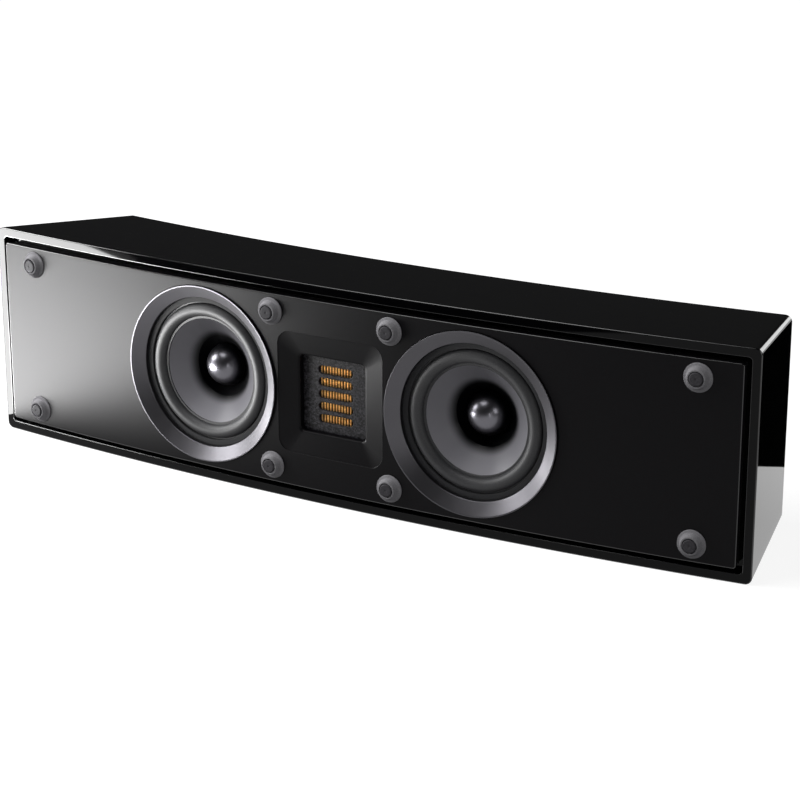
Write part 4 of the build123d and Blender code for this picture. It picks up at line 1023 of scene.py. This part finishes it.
# %% [markdown]
# ## Grille studs
# Eight moulded rubber studs hold the grille, which is off here. Each has a flange, a body that tapers to a round
# shoulder, and a plated insert in its well. One profile makes them all, turned about eight places on the arc.

# %% Studs and inserts
STUD_SIDE_INSET, STUD_INNER_X, STUD_DROP = 47.8, 57.9, 27.7
STUD_RADIUS, STUD_EDGE, STUD_FLANGE, STUD_BODY, STUD_TOP = 11.8, 1.0, 1.6, 9.4, 7.6
STUD_HEIGHT, STUD_WELL, STUD_WELL_DEPTH, SPIGOT_RADIUS, SPIGOT = 6.2, 6.2, 3.0, 4.0, 8.0
INSERT_RADIUS, INSERT_PROUD, INSERT_DIMPLE = 5.5, 0.6, 1.2
STUD_STEPS = 64

stud_rise = DRIVER_HEIGHT - STUD_DROP
stud_places = [face_place(sign * x, DRIVER_HEIGHT + rise) for sign in (-1, 1)
               for x in (STUD_INNER_X, FRONT_WIDTH / 2 - STUD_SIDE_INSET) for rise in (-stud_rise, stud_rise)]
stud_profile = eased(
    [(0, -SPIGOT), (SPIGOT_RADIUS, -SPIGOT), (SPIGOT_RADIUS, 0), (STUD_RADIUS, 0), (STUD_RADIUS, STUD_EDGE),
     (STUD_BODY, STUD_FLANGE), (STUD_TOP, STUD_HEIGHT), (STUD_WELL, STUD_HEIGHT),
     (STUD_WELL, STUD_HEIGHT - STUD_WELL_DEPTH), (0, STUD_HEIGHT - STUD_WELL_DEPTH)],
    [0, 0.4, 0.2, 0.2, 0.5, 0.9, 0.7, 0.3, 0.2, 0])
insert_top = STUD_HEIGHT + INSERT_PROUD
insert_profile = eased(
    [(0, STUD_HEIGHT - STUD_WELL_DEPTH), (INSERT_RADIUS, STUD_HEIGHT - STUD_WELL_DEPTH),
     (INSERT_RADIUS, STUD_HEIGHT), (INSERT_RADIUS - INSERT_PROUD, insert_top), (INSERT_DIMPLE, insert_top),
     (0, insert_top - INSERT_DIMPLE / 2)], [0, 0.2, 0.25, 0.4, 0.3, 0])
make_piece("rubber_studs", [turned(stud_profile, place, STUD_STEPS) for place in stud_places], finishes["stud"],
           "stud", "cabinet", "grille_studs")
make_piece("stud_caps", [turned(insert_profile, place, STUD_STEPS) for place in stud_places],
           finishes["stud_insert"], "stud_insert", "cabinet", "grille_stud_inserts")

# %% [markdown]
# ## Terminals
# On the back a moulded plate sits flush in the lacquer and carries two gold-plated binding posts. A fluted nut
# turns on each post, one red and one black. The flutes are shallow scoops: where the angle is near a flute's
# middle, the radius drops by the height of a small circle there.

# %% Plate and screws
SCREW_INSET, SCREW_HEAD, SCREW_HEIGHT, SCREW_SHANK, SCREW_GRIP = 6.0, 3.6, 2.4, 2.0, 6.0
terminal_place = (np.array([0.0, PLATE_Y, PLATE_Z]), np.array([[-1.0, 0, 0], [0, 0, 1.0], [0, 1.0, 0]]))
PLATE_EDGE = 0.5
plate_along, plate_up = np.linspace(-1, 1, 13), np.linspace(-1, 1, 9)


def plate_row(grow, scale, out):
    loop = rounded_loop(PLATE_WIDTH / 2 + grow, PLATE_HEIGHT / 2 + grow, PLATE_CORNER + grow, plate_along, plate_up, 8)
    return np.concatenate([loop * scale, 0 * loop[:, :1] + out], axis=1)


plate_rows = np.stack(
    [plate_row(0, 0, 0), plate_row(0, 1, 0)]
    + [plate_row(-PLATE_EDGE * (1 - cos(t)), 1, PLATE_THICKNESS - PLATE_EDGE * (1 - sin(t))) for t in EDGE_TURN]
    + [plate_row(-PLATE_EDGE, 0, PLATE_THICKNESS)])
make_piece("terminal_panel", [placed(plate_rows, terminal_place)], finishes["polymer"], "polymer", "cabinet",
           "terminal_plate")

screw_top = PLATE_THICKNESS + SCREW_HEIGHT
screw_profile = eased(
    [(0, -SCREW_GRIP), (SCREW_SHANK, -SCREW_GRIP), (SCREW_SHANK, PLATE_THICKNESS), (SCREW_HEAD, PLATE_THICKNESS),
     (SCREW_HEAD, screw_top), (1.5, screw_top), (1.2, screw_top - 1.2), (0, screw_top - 1.2)],
    [0, 0.6, 0.1, 0.2, 1.2, 0.2, 0.2, 0])


def beside(place, across, up):
    """A place moved across and up in its own plane."""
    origin, axes = place
    return origin + across * axes[0] + up * axes[1], axes


screw_x, screw_z = PLATE_WIDTH / 2 - SCREW_INSET, PLATE_HEIGHT / 2 - SCREW_INSET
screw_places = [beside(terminal_place, sx * screw_x, sz * screw_z) for sx in (-1, 1) for sz in (-1, 1)]
make_piece("panel_screws", [turned(screw_profile, place, 32) for place in screw_places], finishes["screw"],
           "screw", "cabinet", "terminal_screws")

# %% Posts and nuts
POST_SPACING, COLLAR, COLLAR_HEIGHT, POST_RADIUS, POST_LENGTH = 19.0, 7.2, 3.0, 3.5, 16.0
STUD_SHANK, STUD_LENGTH, BANANA_RADIUS, BANANA_DEPTH = 2.5, 13.0, 2.0, 14.0
NUT_RADIUS, NUT_FLUTES, FLUTE_RADIUS, NUT_SLIP, NUT_LIFT, NUT_EDGE = 6.6, 12, 0.9, 0.06, 0.15, 0.7
post_tip = COLLAR_HEIGHT + POST_LENGTH
post_profile = eased(
    [(0, -STUD_LENGTH), (STUD_SHANK, -STUD_LENGTH), (STUD_SHANK, 0), (COLLAR, 0), (COLLAR, COLLAR_HEIGHT),
     (POST_RADIUS, COLLAR_HEIGHT), (POST_RADIUS, post_tip), (BANANA_RADIUS, post_tip),
     (BANANA_RADIUS, post_tip - BANANA_DEPTH), (0, post_tip - BANANA_DEPTH)],
    [0, 0.5, 0.1, 0.2, 0.5, 0.1, 0.35, 0.35, 0.2, 0])

flute_angle = np.linspace(0, 2 * pi, NUT_FLUTES * 18 + 1)
from_flute = (flute_angle * NUT_FLUTES / (2 * pi) + 0.5) % 1 - 0.5
offset = from_flute * 2 * pi / NUT_FLUTES * NUT_RADIUS
fluted = NUT_RADIUS - np.sqrt(np.clip(FLUTE_RADIUS**2 - offset**2, 0, None))


def nut_row(radius, out):
    radius = np.broadcast_to(radius, flute_angle.shape)
    return np.stack([radius * np.cos(flute_angle), radius * np.sin(flute_angle), 0 * flute_angle + out], axis=1)


nut_low, nut_high = COLLAR_HEIGHT + NUT_LIFT, post_tip - NUT_LIFT
nut_bore = POST_RADIUS + NUT_SLIP
nut_rows = np.stack(
    [nut_row(nut_bore, nut_low)]
    + [nut_row(fluted - NUT_EDGE * (1 - sin(t)), nut_low + NUT_EDGE * (1 - cos(t))) for t in EDGE_TURN]
    + [nut_row(fluted - NUT_EDGE * (1 - cos(t)), nut_high - NUT_EDGE * (1 - sin(t))) for t in EDGE_TURN]
    + [nut_row(nut_bore, nut_high), nut_row(nut_bore, nut_low)])
for colour, sign in (("red", -1), ("black", 1)):
    place = beside(terminal_place, sign * POST_SPACING / 2, 0)
    place = (place[0] + PLATE_THICKNESS * place[1][2], place[1])
    make_piece(f"{colour}_binding_post", [turned(post_profile, place, 48)], finishes["gold_plate"], "gold_plate",
               "cabinet", f"{colour}_post")
    make_piece(f"{colour}_fluted_nut", [placed(nut_rows, place)], finishes[f"{colour}_nut"], f"{colour}_nut",
               f"{colour}_nut", f"{colour}_thumb_nut")

# %% [markdown]
# ## Floor
# A plain white sweep of paper. It is lit like anything else, and adds a glow of its own for the camera and for
# reflections, so that it reads as a white studio. Near the speaker the glow stays a little under white, which
# leaves room for the soft shadow, and further out it is full white. A brighter lamp would whiten the floor too,
# but it would also wash out the speaker.

# %% Pale floor
FLOOR_HALF, FLOOR_Z = 6000.0, -0.2
FLOOR_GLOW, FAR_GLOW = 0.88, 1.0
GLOW_NEAR, GLOW_FAR = 700.0, 2500.0


def studio_floor():
    """Matt white paper that also glows a little towards the camera and in reflections."""
    material = blank_material("white_studio_paper")
    matt = add(material, "ShaderNodeBsdfDiffuse", {"Color": linear("#8c8c8c")})
    path = add(material, "ShaderNodeLightPath", {})
    seen = add(material, "ShaderNodeMath", {0: path.outputs["Is Camera Ray"], 1: path.outputs["Is Glossy Ray"]},
               operation="MAXIMUM")
    seen = add(material, "ShaderNodeMath", {0: seen.outputs["Value"], 1: path.outputs["Is Transmission Ray"]},
               operation="MAXIMUM")
    where = add(material, "ShaderNodeTexCoord", {}).outputs["Object"]
    away = add(material, "ShaderNodeVectorMath", {0: where}, operation="LENGTH")
    level = add(material, "ShaderNodeMapRange",
                {"Value": away.outputs["Value"], "From Min": GLOW_NEAR * MM, "From Max": GLOW_FAR * MM,
                 "To Min": FLOOR_GLOW, "To Max": FAR_GLOW})
    share = add(material, "ShaderNodeMath", {0: seen.outputs["Value"], 1: level.outputs["Result"]},
                operation="MULTIPLY")
    glow = add(material, "ShaderNodeEmission", {"Color": linear("#ffffff"), "Strength": share.outputs["Value"]})
    both = add(material, "ShaderNodeAddShader", {0: matt.outputs["BSDF"], 1: glow.outputs["Emission"]})
    add(material, "ShaderNodeOutputMaterial", {"Surface": both.outputs["Shader"]})
    return material


floor_x, floor_y = np.meshgrid(np.linspace(-FLOOR_HALF, FLOOR_HALF, 3), np.linspace(-FLOOR_HALF, FLOOR_HALF, 3))
floor = bpy.data.objects.new("floor", make_mesh("floor", [np.stack([floor_x, floor_y, 0 * floor_x + FLOOR_Z], axis=2)]))
floor.data.materials.append(studio_floor())
bpy.context.scene.collection.objects.link(floor)
print("floor", 2 * FLOOR_HALF * MM, "m wide")

# %% [markdown]
# ## Black cards
# A gloss-black object is drawn by what it mirrors, so a photographer places black cards just out of the picture.
# The side wall mirrors the floor behind it: a card that stands there turns the wall black above and leaves it
# light below. A second card lies on the floor at the left front and darkens the middle of the baffle and the left
# of the waveguide. A third stands in line with the baffle and keeps the lit panel, further down, out of the left
# side wall, which would go white from behind. The cards work in reflections only, so that they throw no shadow in
# other views.

# %% Cards beside the set
black_card = grained("black_flocked_card", "#020202", "#050505", 1.0, (0.95, 1.0), 0.05, Specular_IOR_Level=0.0)


def stand_card(name, corner, along, up, thickness):
    """A thin board: two faces spanned by two edges from a corner, a thickness apart, and the rim between them."""
    corner, along, up = (np.array(edge, float) for edge in (corner, along, up))
    out = np.cross(along, up)
    out *= thickness / np.linalg.norm(out)
    face = np.array([[corner, corner + along], [corner + up, corner + along + up]])
    rim = np.stack([corner, corner + along, corner + along + up, corner + up, corner])
    card = bpy.data.objects.new(name, make_mesh(name, [face, face + out, np.stack([rim, rim + out])]))
    card.data.materials.append(black_card)
    card.visible_camera = card.visible_diffuse = card.visible_shadow = False
    bpy.context.scene.collection.objects.link(card)
    print(name, np.linalg.norm(along).round(), "by", np.linalg.norm(up).round(), "mm")


stand_card("wall_card", (310, 220, 0), (310, 0, 0), (0, 0, 150), 6.0)
stand_card("floor_card", (-295, -260, 0.5), (475, -615, 0), (-570, -440, 0), 3.0)
stand_card("left_flag", (-1000, -61, 0), (629.6, 0, 0), (0, 0, 200), 3.0)

# %% [markdown]
# ## Light
# The satin baffle faces a little below the horizon as the camera sees it, so its bright left end is a lit panel
# that lies on the floor, just out of the picture. The panel is there for reflections and lights no matt surface.
# A high softbox at the left reaches into the lower right of the cones and rings, one overhead models the studs and
# edges, and two small lamps at the right put the second spot on the caps. A strip behind draws the line along the
# top edge of the side wall. The room is dark, which keeps the top black.

# %% Softboxes and room
def softbox(name, place, aim, width, height, radiance):
    """An area lamp turned to a point; its power is radiance times area times pi."""
    lamp = bpy.data.lights.new(name, "AREA")
    lamp.shape, lamp.size, lamp.size_y = "RECTANGLE", width, height
    lamp.energy = radiance * width * height * pi
    box = bpy.data.objects.new(name, lamp)
    box.location = place
    away = np.array(place) - np.array(aim)
    flat = hypot(away[0], away[1])
    box.rotation_euler = (np.arctan2(flat, away[2]), 0, np.arctan2(away[0], -away[1]))
    box.visible_camera = False
    bpy.context.scene.collection.objects.link(box)
    print(name, "power", round(lamp.energy, 1), "W")
    return box


panel = softbox("left_panel", (-0.719, -0.319, 0.004), (-0.7147, -0.3173, 1.0), 0.42, 0.78, 55.0)
panel.visible_diffuse = False
softbox("left_softbox", (-1.25, -0.35, 0.62), (-0.1, 0, 0.1), 0.9, 0.5, 24.0)
softbox("top_softbox", (-0.5, -0.48, 1.45), (0, 0, 0.1), 1.2, 0.7, 6.0)
softbox("right_strip", (1.2, -1.9, 0.27), (0.1, 0, 0.1), 0.22, 0.5, 8.0)
softbox("right_softbox", (1.45, -0.75, 0.75), (0.3, 0, 0.1), 0.5, 0.5, 6.0)

softbox("back_strip", (0.4, 1.9, 0.3), (0.1, 0, 0.1), 0.6, 0.4, 3.5)

ROOM_COLOUR, ROOM_STRENGTH = "#ffffff", 0.03
world = bpy.data.worlds.new("dim_studio")
world.use_nodes = True
room = world.node_tree.nodes["Background"]
room.inputs["Color"].default_value = linear(ROOM_COLOUR)
room.inputs["Strength"].default_value = ROOM_STRENGTH
bpy.context.scene.world = world
bpy.context.scene.view_settings.view_transform = "Standard"
